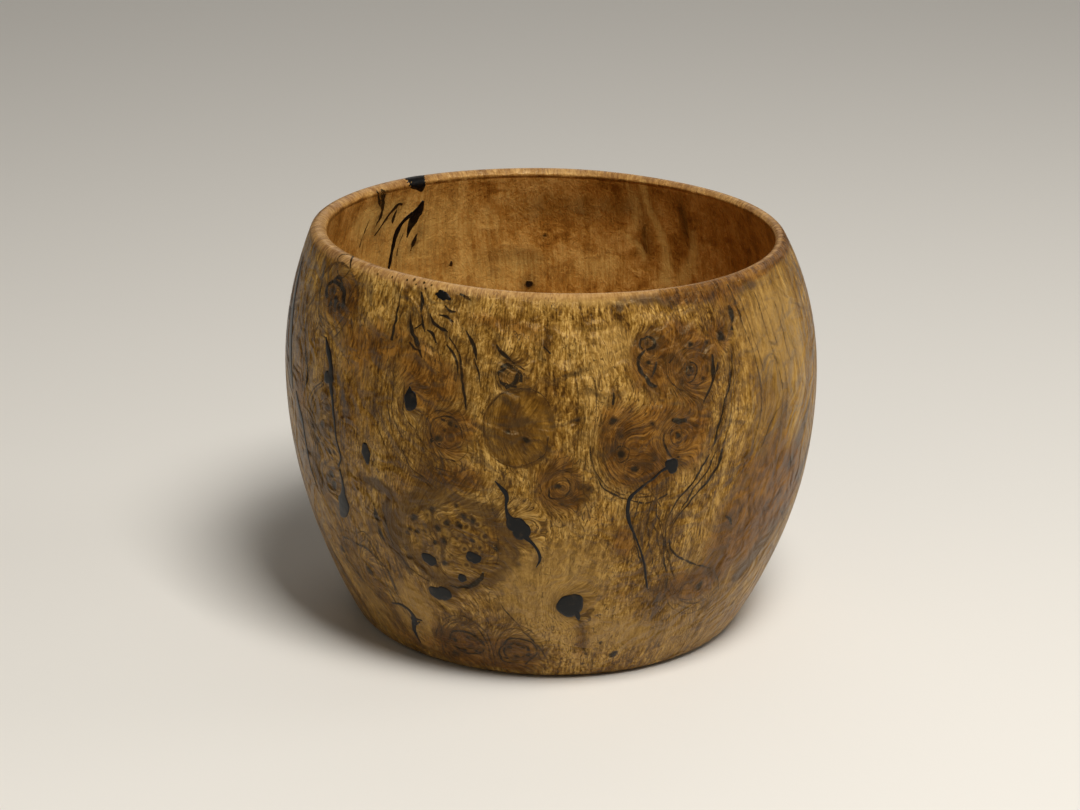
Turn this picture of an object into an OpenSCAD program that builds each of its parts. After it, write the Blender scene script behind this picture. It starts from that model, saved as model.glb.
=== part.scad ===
// Handle-less kuksa: a barrel-shaped drinking cup made from one block of burl wood.
// Knot holes and cracks in the burl are cut out as pockets and filled flush with black resin.

/* [Cup] */
// Widest outer diameter, at the belly
belly_d = 96; // [88:1:104]
// Height from the foot to the top of the lip
cup_h = 72; // [69:0.5:74]
// Height of the belly above the foot
belly_z = 45.5; // [43:0.5:48]
// Radius of the outer curve from the belly up to the lip
shoulder_r = 60; // [56:1:70]
// Radius of the outer curve from the belly down to the foot
flank_r = 86; // [80:1:95]
// Rounding of the edge around the foot
foot_edge_r = 3; // [2:0.5:5]

/* [Wall] */
// Wall thickness at the belly and below it
wall_t = 4; // [3.6:0.1:5]
// Thickness of the rounded lip
lip_t = 2.4; // [2:0.1:3]
// Thickness of the floor
floor_t = 7; // [5:0.5:10]
// Rounding between the inner wall and the floor
bowl_r = 18; // [12:1:20]

/* [Resin] */
// Depth of a pocket below the cup's skin
pocket_depth = 2.6; // [1.5:0.1:3]

/* [Hidden] */
$fn = 240;
wood_colour = "peru";
resin_colour = [0.06, 0.05, 0.05];

// The section's arcs all have their centres at the belly's height
belly_r = belly_d / 2;
shoulder_x = belly_r - shoulder_r;
flank_x = belly_r - flank_r;

// Centre of the lip's rounding, which stands out of the skin on both sides by a hair
lip_bead = 0.02;
lip_r = lip_t / 2;
lip_z = cup_h - lip_r;
lip_rise = lip_z - belly_z;
lip_x = shoulder_x + sqrt(pow(shoulder_r - lip_r + lip_bead, 2) - pow(lip_rise, 2));
shoulder_top = belly_z + lip_rise * shoulder_r / (shoulder_r - lip_r);

// Inner curve above the belly: it leaves wall_t at the belly and meets the lip's rounding
inner_span = belly_r - wall_t + lip_r - lip_bead;
inner_x = (pow(inner_span, 2) - pow(lip_x, 2) - pow(lip_rise, 2)) / (2 * (inner_span - lip_x));
inner_r = belly_r - wall_t - inner_x;
inner_top = belly_z + lip_rise * inner_r / (inner_r + lip_r);

// Foot edge, tangent to the flank and to the ground
foot_x = flank_x + sqrt(pow(flank_r - foot_edge_r, 2) - pow(belly_z - foot_edge_r, 2));
foot_top = belly_z + (foot_edge_r - belly_z) * flank_r / (flank_r - foot_edge_r);

// Bowl, tangent to the inner flank and to the floor
bowl_z = floor_t + bowl_r;
inner_flank_r = flank_r - wall_t;
bowl_x = flank_x + sqrt(pow(inner_flank_r - bowl_r, 2) - pow(belly_z - bowl_z, 2));
bowl_top = belly_z + (bowl_z - belly_z) * inner_flank_r / (inner_flank_r - bowl_r);

// Overlap between shapes that are joined
overlap = 1;

// How far a pocket's tool stands out of the skin, and how deep one reaches that goes right through
tool_proud = 3;
through = 2 * wall_t;

// One entry for each resin fill: name, azimuth (0 faces -Y, positive towards +X), height, depth,
// its round knots as [x, y, radius] and its veins as lists of [x, y, width].
// x runs to the right and y up along the skin, both measured from the entry's own place.
FILLS = [
    ["teardrop_fill", -5.5, 33, pocket_depth,
        [[-0.2, 0.5, 1.7], [0.5, -0.5, 1.7]],
        [[[-4.1, 9, 0.3], [-3.3, 8, 0.9], [-2.4, 6.9, 0.9], [-2, 5.6, 0.9], [-2.3, 4.3, 0.5], [-2.2, 3.2, 0.6],
          [-1.6, 1.8, 1.3], [-0.3, 0.6, 2.6]],
         [[0.5, -0.6, 2.6], [1.5, -2, 1.2], [2.7, -3.4, 0.9], [3.4, -4.9, 0.8], [3.5, -6.1, 0.6],
          [2.8, -7.8, 0.3]]]],
    ["round_fill", 5, 17.5, pocket_depth,
        [[0, 0, 2.45]],
        [[[0.9, -1.2, 1.6], [1.4, -2.2, 1], [1.7, -3.5, 0.3]]]],
    ["low_oval_fill", -25, 17.5, pocket_depth,
        [[-0.7, -0.1, 1.5], [0.7, 0.1, 1.5]],
        [[[-0.7, -0.1, 2.4], [0.7, 0.1, 2.4]]]],
    ["left_pea_fill", -26.5, 24.2, pocket_depth, [[-0.2, 0.2, 1.2], [0.4, -0.1, 1.1]], []],
    ["right_pea_fill", -16, 26.2, pocket_depth, [[-0.4, 0.2, 1], [0.4, -0.1, 1]], []],
    ["small_pea_fill", -19, 21.7, pocket_depth, [[0, 0, 0.85]], []],
    ["high_oval_fill", -29, 53, pocket_depth,
        [[0, 0.5, 1], [0.1, -0.6, 1]],
        [[[0.1, -0.6, 1.7], [0, 0.6, 1.7], [-0.2, 2.2, 0.3]]]],
    ["seed_fill", -40.3, 41.5, pocket_depth, [],
        [[[-0.1, 2, 0.4], [-0.1, 1.2, 1.1], [0, 0.2, 1.5], [0.1, -0.8, 1.2], [0.2, -1.9, 0.3]]]],
    ["long_crack_fill", -51, 48, pocket_depth,
        [[-1.2, 4.4, 1.1], [-0.6, 4.2, 0.9]],
        [[[-3, 11, 0.3], [-2, 9.4, 1], [-1.2, 8.2, 1], [-0.5, 6.6, 0.9], [-0.3, 4.6, 1.2], [0, 2.6, 0.9],
          [0.6, 0.2, 0.7], [1, -3, 0.5], [1.2, -6, 0.5], [1.9, -8.2, 0.5], [2, -9.6, 0.5], [1, -11.2, 0.4]]]],
    ["side_knot_fill", -50, 29.5, pocket_depth,
        [[-0.3, -0.8, 1.3], [0.3, 0.4, 1.2]],
        [[[0.5, 7, 0.4], [0.7, 4.4, 0.7], [0.6, 2.4, 1], [0.2, 0.6, 1.9], [-0.6, -1.4, 1.7],
          [-1.8, -2.9, 0.5]]]],
    ["foot_crack_fill", -36, 8.5, pocket_depth,
        [[0.5, 1.2, 0.7]],
        [[[-3.6, 3.6, 0.3], [-1.6, 4.1, 0.6], [0.1, 3.4, 0.8], [0.7, 1.6, 1.1], [0.2, 0, 0.9],
          [-0.5, -2.2, 0.8], [-0.2, -5.2, 0.3]],
         [[0.5, 1.4, 0.8], [2.4, 1.6, 0.3]],
         [[0.2, -0.2, 0.7], [1.8, 1, 0.3]]]],
    ["branch_crack_fill", 20, 35, pocket_depth,
        [[4, 8.6, 1.1], [4.3, 7.9, 1]],
        [[[4.2, 8.2, 1.6], [2.4, 7.6, 0.6], [0.6, 6.2, 0.7], [-1.4, 4.9, 0.7], [-3, 3.6, 0.9], [-3.4, 1.4, 0.9],
          [-3, -1.4, 0.7], [-1.6, -4.6, 0.4], [-0.2, -8, 0.5], [1, -12, 0.5], [2, -15.6, 0.3]]]],
    ["edge_seam_fill", -74, 57, pocket_depth, [],
        [[[-4.4, 10, 0.4], [-2.8, 5.5, 1.8], [-1, -0.5, 2.4], [0.8, -6, 2], [2.8, -11.5, 0.4]]]],
    ["edge_notch_fill", -65, 38, pocket_depth, [],
        [[[-2.4, 8, 0.3], [-1.2, 5.2, 1.3], [-0.2, 3.2, 1.5], [0.3, 1.8, 0.7], [0.7, -2, 0.8],
          [1.2, -5, 0.5], [2.6, -8, 0.3]]]],
    ["lip_chip_fill", -24, 69.5, through, [],
        [[[-0.2, -0.6, 1], [0, 0.2, 2.4], [0.1, 1.4, 2.6], [0.1, 5, 2.2]]]],
    ["lip_bark_fill", -141, 66, through, [],
        [[[0.2, -5.5, 0.5], [0.5, -2, 2.2], [0.3, 2, 2], [0, 5, 3], [0, 9, 3.4]]]]
];

// Slope of the outer skin's normal above the horizontal, at height z
function skin_tilt(z) = asin((z - belly_z) / (z > belly_z ? shoulder_r : flank_r));

// Outer radius of the cup at height z
function skin_radius(z) =
    z > belly_z ? shoulder_x + shoulder_r * cos(skin_tilt(z)) : flank_x + flank_r * cos(skin_tilt(z));

// Direction of a vein at its point i, and its edge on side s (1 is left, -1 is right)
function heading(vein, i) =
    let (from = vein[max(i - 1, 0)], to = vein[min(i + 1, len(vein) - 1)])
    atan2(to.y - from.y, to.x - from.x);
function vein_edge(vein, s) = [
    for (i = [0 : len(vein) - 1])
        let (half = s * vein[i][2] / 2, h = heading(vein, i))
        [vein[i].x - half * sin(h), vein[i].y + half * cos(h)]
];
function reversed(points) = [for (i = [len(points) - 1 : -1 : 0]) points[i]];

// Slice of the section between two heights, from the axis out to a disc of radius r at [x, z]
module disc_slice(x, z, r, low, high) {
    intersection() {
        translate([x, z]) circle(r);
        translate([0, low]) square([belly_d, high - low]);
    }
}

// Half section of the cup as if it were solid. Each tighter arc's slice runs on inside the wider one's.
module outer_section() {
    disc_slice(shoulder_x, belly_z, shoulder_r, belly_z - overlap, shoulder_top);
    disc_slice(flank_x, belly_z, flank_r, foot_top, belly_z);
    disc_slice(foot_x, foot_edge_r, foot_edge_r, 0, foot_top + overlap);
    square([foot_x, foot_top + overlap]);
    translate([lip_x, lip_z]) circle(lip_r);
}

// Half section of the hollow, open at the lip
module hollow_section() {
    difference() {
        union() {
            disc_slice(inner_x, belly_z, inner_r, belly_z - overlap, inner_top);
            disc_slice(flank_x, belly_z, inner_flank_r, bowl_top, belly_z);
            disc_slice(bowl_x, bowl_z, bowl_r, floor_t, bowl_top + overlap);
            translate([0, floor_t]) square([bowl_x, cup_h]);
            translate([0, inner_top]) square([lip_x, overlap + cup_h - inner_top]);
        }
        translate([lip_x, lip_z]) circle(lip_r);
    }
}

// The cup before its pockets are cut
module cup_form() {
    rotate_extrude() difference() {
        outer_section();
        hollow_section();
    }
}

// Puts a shape on the outer skin: its X runs to the right, Y up along the skin and Z outwards
module on_skin(azimuth, z) {
    rotate([0, 0, azimuth])
        translate([0, -skin_radius(z), z])
            rotate([90 - skin_tilt(z), 0, 0])
                children();
}

// The tool that cuts one fill's pocket
module pocket(fill) {
    depth = fill[3];
    on_skin(fill[1], fill[2]) translate([0, 0, -depth]) linear_extrude(depth + tool_proud) {
        for (knot = fill[4]) translate([knot.x, knot.y]) circle(knot[2]);
        for (vein = fill[5]) polygon(concat(vein_edge(vein, -1), reversed(vein_edge(vein, 1))));
    }
}

// Wooden cup in one piece, with its pockets
module cup_body() {
    color(wood_colour) difference() {
        cup_form();
        for (fill = FILLS) pocket(fill);
    }
}

// Black resin that fills one pocket flush with the wood
module resin_fill(fill) {
    color(resin_colour) intersection() {
        cup_form();
        pocket(fill);
    }
}

cup_body();
for (fill = FILLS) resin_fill(fill);
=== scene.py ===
"""Kuksa: a handle-less drinking cup of burl wood, with black resin in its knot holes and cracks."""

import bpy
import numpy as np
from mathutils import Matrix, Vector


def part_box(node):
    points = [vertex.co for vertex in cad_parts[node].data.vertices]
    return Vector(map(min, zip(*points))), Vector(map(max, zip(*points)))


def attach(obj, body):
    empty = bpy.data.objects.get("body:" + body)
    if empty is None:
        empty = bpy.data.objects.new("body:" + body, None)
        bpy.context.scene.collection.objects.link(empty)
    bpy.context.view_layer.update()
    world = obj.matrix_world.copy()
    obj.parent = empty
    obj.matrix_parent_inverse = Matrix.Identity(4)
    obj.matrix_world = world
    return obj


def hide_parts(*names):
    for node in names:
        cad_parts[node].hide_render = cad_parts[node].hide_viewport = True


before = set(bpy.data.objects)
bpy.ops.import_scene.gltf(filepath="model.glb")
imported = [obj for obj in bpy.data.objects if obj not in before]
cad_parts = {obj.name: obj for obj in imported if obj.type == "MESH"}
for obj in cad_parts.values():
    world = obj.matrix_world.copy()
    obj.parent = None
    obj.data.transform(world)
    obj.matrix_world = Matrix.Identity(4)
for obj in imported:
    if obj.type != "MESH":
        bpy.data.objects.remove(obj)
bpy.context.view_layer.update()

MM = 0.001

# Sizes in millimetres. The cup's own box gives its height and its widest radius.
cup_low, cup_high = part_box("cup_body")
CUP_H = cup_high.z / MM
BELLY_R = (cup_high.x - cup_low.x) / 2 / MM
BELLY_Z = 45.5
SHOULDER_R = 60.0
FLANK_R = 86.0
FOOT_EDGE_R = 3.0
WALL_T = 4.0
LIP_R = 1.2
FLOOR_T = 7.0
BOWL_R = 18.0
GRAIN_R = 45.0

# Degrees round the cup at which the heartwood streaks and the shade they paint are gone, and over which
# they fade
HEART_END = 92
HEART_FADE = 26

# Sideways lean: LEAN t - BEND t^2 at share t of the height
LEAN = 1.5
BEND = 2.6

# Every inset lies CLEAR of the wood's surface. Resin veins and plugs are domed above that.
CLEAR = 0.012
RESIN_PROUD = 0.05
PLUG_PROUD = 0.07

# How deep resin and checks are let in
RESIN_DEPTH = 1.2
CHECK_DEPTH = 0.3

# Radius of the flat caps that close the middle of the foot and of the floor
HUB_R = 0.8

# Half width of the band along the crest of the lip that is glossier and painted paler as a highlight
CREST_BAND_WIDTH = 1.6

# Specks are drawn wider than listed, because their soot fades towards the edge
SPECK_SPREAD = 1.5
SPECK_DARK = 0.78

# Mesh rows along each stretch of the section, and columns round the cup
ROWS = dict(underside=8, foot_edge=6, flank=78, shoulder=46, lip=16, inner_shoulder=30, inner_flank=20,
            bowl=14, floor=8)
COLUMNS = 420


# ---------------------------------------------------------------- the turned section

def arc(centre, radius, start, end, count, side=1):
    """Points centre + radius (cos a, sin a) for angles a from start to end; normals side (cos a, sin a)."""
    a = np.linspace(start, end, count + 1)
    normal = np.stack([np.cos(a), np.sin(a)], 1)
    return np.array(centre) + radius * normal, side * normal


def line(start, end, normal, count):
    """Evenly spaced points from start to end, all with the same normal."""
    t = np.linspace(0, 1, count + 1)[:, None]
    return (1 - t) * np.array(start, float) + t * np.array(end, float), np.tile(normal, (count + 1, 1))


def section(rows):
    """Half section of the cup from the middle of the foot, up the outside, over the lip and down to the
    middle of the floor. All arcs are tangent: radius^2 = run^2 + rise^2 places each centre.
    Returns one array a stretch of points (r, z) and of normals."""
    shoulder_x, flank_x = BELLY_R - SHOULDER_R, BELLY_R - FLANK_R
    lip_z = CUP_H - LIP_R
    rise = lip_z - BELLY_Z
    lip_x = shoulder_x + np.sqrt((SHOULDER_R - LIP_R) ** 2 - rise ** 2)
    span = BELLY_R - WALL_T + LIP_R
    inner_x = (span ** 2 - lip_x ** 2 - rise ** 2) / (2 * (span - lip_x))
    inner_flank_r = FLANK_R - WALL_T
    foot_x = flank_x + np.sqrt((FLANK_R - FOOT_EDGE_R) ** 2 - (BELLY_Z - FOOT_EDGE_R) ** 2)
    bowl_z = FLOOR_T + BOWL_R
    bowl_x = flank_x + np.sqrt((inner_flank_r - BOWL_R) ** 2 - (BELLY_Z - bowl_z) ** 2)
    foot_angle = np.arctan2(FOOT_EDGE_R - BELLY_Z, foot_x - flank_x)
    lip_out = np.arctan2(rise, lip_x - shoulder_x)
    lip_in = np.arctan2(rise, lip_x - inner_x)
    bowl_angle = np.arctan2(bowl_z - BELLY_Z, bowl_x - flank_x)
    down = -np.pi / 2
    return {
        "underside": line((0, 0), (foot_x, 0), (0, -1), rows["underside"]),
        "foot_edge": arc((foot_x, FOOT_EDGE_R), FOOT_EDGE_R, down, foot_angle, rows["foot_edge"]),
        "flank": arc((flank_x, BELLY_Z), FLANK_R, foot_angle, 0, rows["flank"]),
        "shoulder": arc((shoulder_x, BELLY_Z), SHOULDER_R, 0, lip_out, rows["shoulder"]),
        "lip": arc((lip_x, lip_z), LIP_R, lip_out, np.pi + lip_in, rows["lip"]),
        "inner_shoulder": arc((inner_x, BELLY_Z), span - LIP_R - inner_x, lip_in, 0,
                              rows["inner_shoulder"], -1),
        "inner_flank": arc((flank_x, BELLY_Z), inner_flank_r, 0, bowl_angle, rows["inner_flank"], -1),
        "bowl": arc((bowl_x, bowl_z), BOWL_R, bowl_angle, down, rows["bowl"], -1),
        "floor": line((bowl_x, FLOOR_T), (0, FLOOR_T), (0, 1), rows["floor"]),
    }


def run_length(points):
    """Distance along a chain of points."""
    return np.concatenate([[0], np.cumsum(np.linalg.norm(np.diff(points, axis=0), axis=1))])


# The same section with many steps to a stretch, to look places up in
FINE_STEPS = 400
FINE = section({name: FINE_STEPS for name in ROWS})
FINE_POINTS = np.concatenate([points for points, _ in FINE.values()])
FINE_NORMALS = np.concatenate([normals for _, normals in FINE.values()])
FINE_S = run_length(FINE_POINTS)
STRETCH_END = dict(zip(FINE, FINE_S[np.arange(1, len(FINE) + 1) * (FINE_STEPS + 1) - 1]))
LIP_TOP = FINE_S[np.argmax(FINE_POINTS[:, 1])]


def section_at(s):
    """Radius, height and normal of the turned section at a distance s along it."""
    both = np.concatenate([FINE_POINTS, FINE_NORMALS], 1)
    return [np.interp(s, FINE_S, both[:, k]) for k in range(4)]


def outside(z):
    """Distance along the section of the outer skin's point at height z."""
    rising = (FINE_S > STRETCH_END["underside"]) & (FINE_S <= LIP_TOP)
    return np.interp(z, FINE_POINTS[rising, 1], FINE_S[rising])


def inside(z):
    """Distance along the section of the inner skin's point at height z."""
    falling = (FINE_S >= LIP_TOP) & (FINE_S <= STRETCH_END["bowl"])
    return np.interp(-np.asarray(z, float), -FINE_POINTS[falling, 1], FINE_S[falling])


# ---------------------------------------------------------------- figure of the burl
# Places are azimuths in degrees (0 faces -Y, positive towards +X) and heights in millimetres.

# Eyes of the outer skin that the growth rings bend round: azimuth, height, reach, push of the grain
EYES = [
    (-6.3, 50.5, 5.0, 3), (1.8, 40.5, 2.8, 7), (-21, 48, 3.0, 7), (20.5, 62.5, 2.4, 6), (29.8, 59, 3.2, 9),
    (39.3, 63.3, 1.6, 3), (15, 47.5, 4.2, 8), (25.5, 48, 3.2, 8), (-54.5, 66, 3.4, 10), (-8, 59, 2.0, 5),
    (-55, 42.5, 3.8, 6), (-55.5, 33, 3.4, 6), (-46, 17.5, 4.4, 9), (-21, 28.5, 8.5, 10),
    (-28.5, 31, 1.7, 3), (-23, 33, 1.7, 3), (-17.5, 32.6, 1.7, 3), (-25.4, 27.4, 1.6, -3),
    (-20.4, 28.4, 1.6, 3), (-14.6, 28.6, 1.7, 3), (-22.6, 23.2, 1.7, 3), (-30, 25.6, 1.6, 3),
    (-21.5, 7, 3.4, 9), (-7.5, 6.8, 3.6, 9), (36, 18, 4.6, 9), (-5.5, 33, 2.6, 5), (4.8, 17.5, 3.4, 6),
    (-29, 53.5, 2.4, 5), (57, 46, 4.0, 3), (-40, 29, 2.4, 3), (-25, 17.4, 2.4, 4), (112, 40, 5.0, 8),
    (150, 24, 7.0, 13), (-118, 52, 4.0, 8), (-150, 30, 5.5, 10), (176, 55, 3.5, 7), (90, 20, 4.0, 7),
    (-95, 24, 5.0, 9),
]

# Stains of the outer skin, with painted highlights along the lip and painted shade on the lower right flank
# among them: azimuth, height, half width, half height, strength (brown above 0, pale below)
STAINS_AND_LIGHT = [
    (2, 41, 3.2, 4.6, 1.1), (-21, 48, 4, 4.6, 0.8), (-17.5, 50.5, 3, 2, 0.5), (-23, 57, 4.6, 3.6, 0.75),
    (-27, 54.6, 3, 3, 0.5), (13, 50, 3, 5, 0.9), (17, 43.5, 4.4, 4, 0.95), (20, 50, 4, 3.6, 0.8),
    (26, 47, 4.6, 6, 1.0), (31, 50, 3, 5, 0.4), (20.5, 61, 3, 5, 1.0), (30, 60, 5, 5.6, 0.95),
    (28, 65.5, 4, 2, 0.6), (38.6, 63.5, 2, 3, 0.7), (-54, 66, 3.6, 3.8, 0.95), (-47.5, 67, 3.2, 3.4, 0.6),
    (-43, 52, 5.5, 9, 0.45), (-44, 61, 6, 3, 0.4), (-22, 6.5, 6.5, 4, 1.25), (-8, 6, 4.6, 4, 1.15),
    (-15, 2.5, 12, 1.4, 0.5), (-46, 17, 6, 5, 0.35), (36, 18.5, 5, 4, 0.75), (28, 19, 4, 3, 0.6),
    (-55.5, 41, 4, 7, 0.2), (8.5, 10, 1.6, 5, 0.55), (4.6, 39.6, 1.6, 3, 0.3), (12, 33, 3, 5, 0.3),
    (15.5, 30, 2, 3.4, 0.7), (17, 21, 2, 5, 0.35), (-8, 59, 2, 1.8, 0.45), (-16, 41, 4, 2, 0.5),
    (-23, 40, 6, 2.2, 0.6), (-31, 36, 3, 3, 0.5), (-12, 30, 3, 5, 0.4), (60, 6, 12, 3, 0.4),
    (-40, 4, 8, 2.6, 0.4), (44, 40, 3, 4, 0.35), (-66, 48, 4, 12, 0.45), (44, 67, 4, 3, 0.55),
    (36, 70.8, 8, 1.8, 1.2), (52, 71.4, 9, 1.4, 1.1), (80, 71.4, 16, 1.2, 1.1), (-100, 71.8, 9, 0.8, 0.8),
    # The pale humps on the lip at 10, -5, 180, -108 and -66 degrees are painted highlights
    (-12, 67.5, 7, 1.6, 0.45), (10, 71.4, 13, 1.5, -1.0), (-5, 72, 26, 0.9, -1.0), (4, 24, 5, 5, -0.6),
    (180, 71.8, 36, 1.2, -1.2), (-108, 71.9, 16, 0.8, -0.9), (56, 61, 8, 10, -0.35), (-2, 66, 8, 2.2, 0.3),
    (-66, 72, 14, 0.6, -0.8), (9, 56, 3, 6, -0.4), (-2, 60, 7, 5, 0.12), (-7, 24, 4, 4, -0.4),
    (40, 28, 5, 4, -0.35), (-66, 71, 14, 1.6, 0.35), (0, 58, 3, 2, 0.3), (150, 24, 9, 8, 0.8),
    (-118, 52, 6, 6, 0.7), (-150, 30, 7, 7, 0.7), (112, 40, 6, 8, 0.6), (175, 55, 6, 6, 0.6),
    (90, 22, 5, 7, 0.5), (-95, 24, 6, 5, 0.5), (-3, 27, 3, 4, -0.4), (-5, 18, 7, 7, -0.8),
    (12, 24, 4, 8, -0.5), (0, 66, 9, 2.4, -0.3), (14, 64, 4, 5, -0.6), (60, 60, 10, 12, -0.7),
    # The brown humps at (40, 30) and (60, 32) are painted shade on the lower right flank
    (-34, 13, 5, 7, -1.0), (-50, 10, 5, 6, -0.5), (36, 29, 6, 5, -0.15), (40, 30, 7, 8, 0.25),
    (-32, 61, 7, 5, 0.5), (52, 42, 6, 6, 0.4), (46, 30, 6, 6, 0.5), (60, 32, 9, 8, 0.9),
    (0, 50, 4, 8, 0.15), (4, 31, 4, 5, -0.4), (14, 11, 9, 6, -0.8), (29, 9, 7, 4, -0.5),
    (-4, 56, 6, 2, -0.3), (-31, 56, 2.4, 8, -0.3), (-78, 58, 3, 9, 1.2), (46, 24, 7, 7, 0.45),
    (-90, 60, 8, 10, -0.5), (135, 55, 9, 9, -0.5), (-170, 20, 9, 9, -0.5),
]

# Stains of the inner skin, with painted shade on the inner right wall at 122 degrees among them, listed in
# the same way
INNER_STAINS_AND_SHADE = [
    (122, 63, 9, 9, 0.25), (143, 64, 1.0, 4.4, 1.1), (155, 58, 1.6, 4, 0.7), (186, 53, 4, 2.4, 0.6),
    (195, 54, 5, 2.4, 0.5), (178, 64, 12, 4, 0.55), (158, 66, 7, 4, 0.5), (186.4, 47.8, 2.2, 2.2, 0.9),
    (234, 66, 7, 3, -0.7), (192, 56, 40, 14, -0.12), (222, 60, 18, 12, -0.55), (192, 50, 12, 4, -0.4),
    (168, 52, 6, 4, -0.4), (60, 50, 12, 14, 0.4), (-20, 50, 12, 14, -0.3), (0, 25, 14, 10, 0.4),
]

# Golden streaks of the inner skin: (azimuth, height, half width) along each, and strength
GOLD = [
    ([(-205.6, 72, 1), (-206.4, 67, 0.8), (-208.6, 62, 0.9), (-210.6, 57, 1.1), (-210, 51, 1.4)], 1.0),
    ([(-219.6, 62, 0.9), (-218.6, 57, 1.4), (-215, 52, 1.8)], 0.8),
    ([(-200, 59, 0.6), (-203, 57, 0.8), (-204, 54.6, 0.6)], 0.8),
    ([(-201, 71, 1.4), (-203, 66, 1.2), (-202, 61, 0.8)], 0.5),
]

# Smooth wood with long straight fibres: azimuth, height, half width, half height
CALM = [(61, 55, 13, 22), (52, 25, 10, 10), (-34, 12, 4, 6), (-100, 55, 12, 20), (200, 40, 14, 24)]

# Fibres that run aslant low on the wall: azimuths where the slope starts, is full, starts to fade and ends,
# the height it starts below, and the slope
SLANTS = [(28, 56, 72, 135, 50, 0.75), (-34, -62, -76, -135, 30, -0.6)]

# Heartwood streaks with a cold purple-brown tint, the first two widened and strengthened to paint the shade
# on the lower right flank as well: (azimuth, height, half width) along each, and strength
HEARTWOOD_AND_SHADE = [
    ([(40, 19, 1.6), (46, 24.6, 2.4), (53, 29.6, 2.8), (60, 35, 2.6), (67, 41, 1.6), (73, 46, 0.8),
      (78, 50, 0.2)], 1.1),
    ([(50, 17, 1.8), (58, 23.4, 2.8), (66, 28.6, 2.8), (74, 33.4, 2), (81, 38.4, 1), (86, 42, 0.2)], 1.1),
    ([(47, 34, 1.2), (50.4, 38.4, 1.6), (54, 42.6, 1.4), (57.6, 48, 1)], 0.6),
    ([(-41, 36.6, 0.7), (-37.5, 36.3, 1.3), (-34, 35.4, 0.8)], 1.1),
    ([(-35.4, 34, 1), (-35.8, 29, 1.8), (-34.8, 24, 1.4), (-32, 20.6, 0.9)], 0.8),
    ([(-80, 66, 2.4), (-76.4, 56, 2.6), (-72.6, 47, 2.4)], 0.9),
    ([(16, 71, 0.8), (28, 70.4, 1.6), (40, 69.8, 1.6), (54, 69.6, 1)], 0.7),
    ([(-44, 6, 1.4), (-34, 2.6, 1.6), (-22, 1.4, 1)], 0.5),
    ([(-27, 6, 1), (-23.4, 8.6, 1.3), (-19.4, 8, 1.1), (-17.6, 4.6, 0.9), (-22, 3.6, 0.9)], 0.75),
    ([(-11.4, 5, 0.9), (-9.4, 8.2, 1.1), (-6, 8.2, 1.1), (-4.4, 5, 0.9), (-8, 3.4, 0.8)], 0.75),
]

# Patches crowded with pips: azimuth, height, half width, half height
PIP_PATCHES = [(-20.5, 29, 7.6, 6.6), (-55.5, 42.6, 4, 4.6), (-55, 33, 3.2, 3), (150, 24, 7, 6)]

# Round figures with a crisp outline: azimuth, height, half width, half height
DISC_EYE = (-6.1, 50.5, 5.9, 7.0)
BURL_RIM = (-20.8, 28.6, 10.4, 9.4)


def hump(azimuth, s, place_az, place_s, half_width, half_height, power=2):
    """exp(-(dx / w)^p - (dy / h)^p) with dx measured round the cup and dy along the section."""
    dx = (np.mod(azimuth - place_az + 180, 360) - 180) * np.radians(GRAIN_R)
    dy = s - place_s
    return np.exp(-np.abs(dx / half_width) ** power - np.abs(dy / half_height) ** power)


def stain_and_light_sum(azimuth, s, stain_and_light_list):
    """Brown and pale sums of the soft humps of a listed table of stained patches and painted light, each
    times its own strength.
    """
    side = inside if stain_and_light_list is INNER_STAINS_AND_SHADE else outside
    humps = [k * hump(azimuth, s, a, side(z), w, h, 2.4) for a, z, w, h, k in stain_and_light_list]
    return sum(np.maximum(h, 0) for h in humps), sum(np.maximum(-h, 0) for h in humps)


def from_place(points, widths, side=outside):
    """Turns (azimuth, height) points into a place on the skin and (x, y, width) in millimetres from it."""
    azimuth, z = np.array(points, float).T
    middle = len(azimuth) // 2
    place = (azimuth[middle], float(side(z[middle])))
    r0 = section_at(place[1])[0]
    x = np.radians(azimuth - place[0]) * r0
    return place, np.stack([x, side(z) - place[1], widths + 0 * azimuth], 1)


def streak_sum(azimuth, s, streaks, side=outside):
    """The largest k exp(-(d / w)^2) over the streaks, d being the distance to a streak's nearest point and
    w its half width there."""
    total = np.zeros_like(azimuth)
    for points, strength in streaks:
        place, local = from_place([p[:2] for p in points], np.array([p[2] for p in points]), side)
        path = smooth_path(local, 1.0)
        dx = (np.mod(azimuth - place[0] + 180, 360) - 180) * np.radians(section_at(place[1])[0])
        dy = s - place[1]
        close = np.flatnonzero((np.abs(dx) < 40) & (np.abs(dy) < 40))
        share = np.hypot(dx[close, None] - path[:, 0], dy[close, None] - path[:, 1]) / path[:, 2]
        total[close] = np.maximum(total[close], strength * np.exp(-share.min(1) ** 2))
    return total


def disc_reach(azimuth, s, disc):
    """Distance from a disc's middle, in shares of its own half width and half height."""
    a, z, w, h = disc
    dx = (np.mod(azimuth - a + 180, 360) - 180) * np.radians(GRAIN_R)
    return np.minimum(np.hypot(dx / w, (s - outside(z)) / h), 3)


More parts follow.
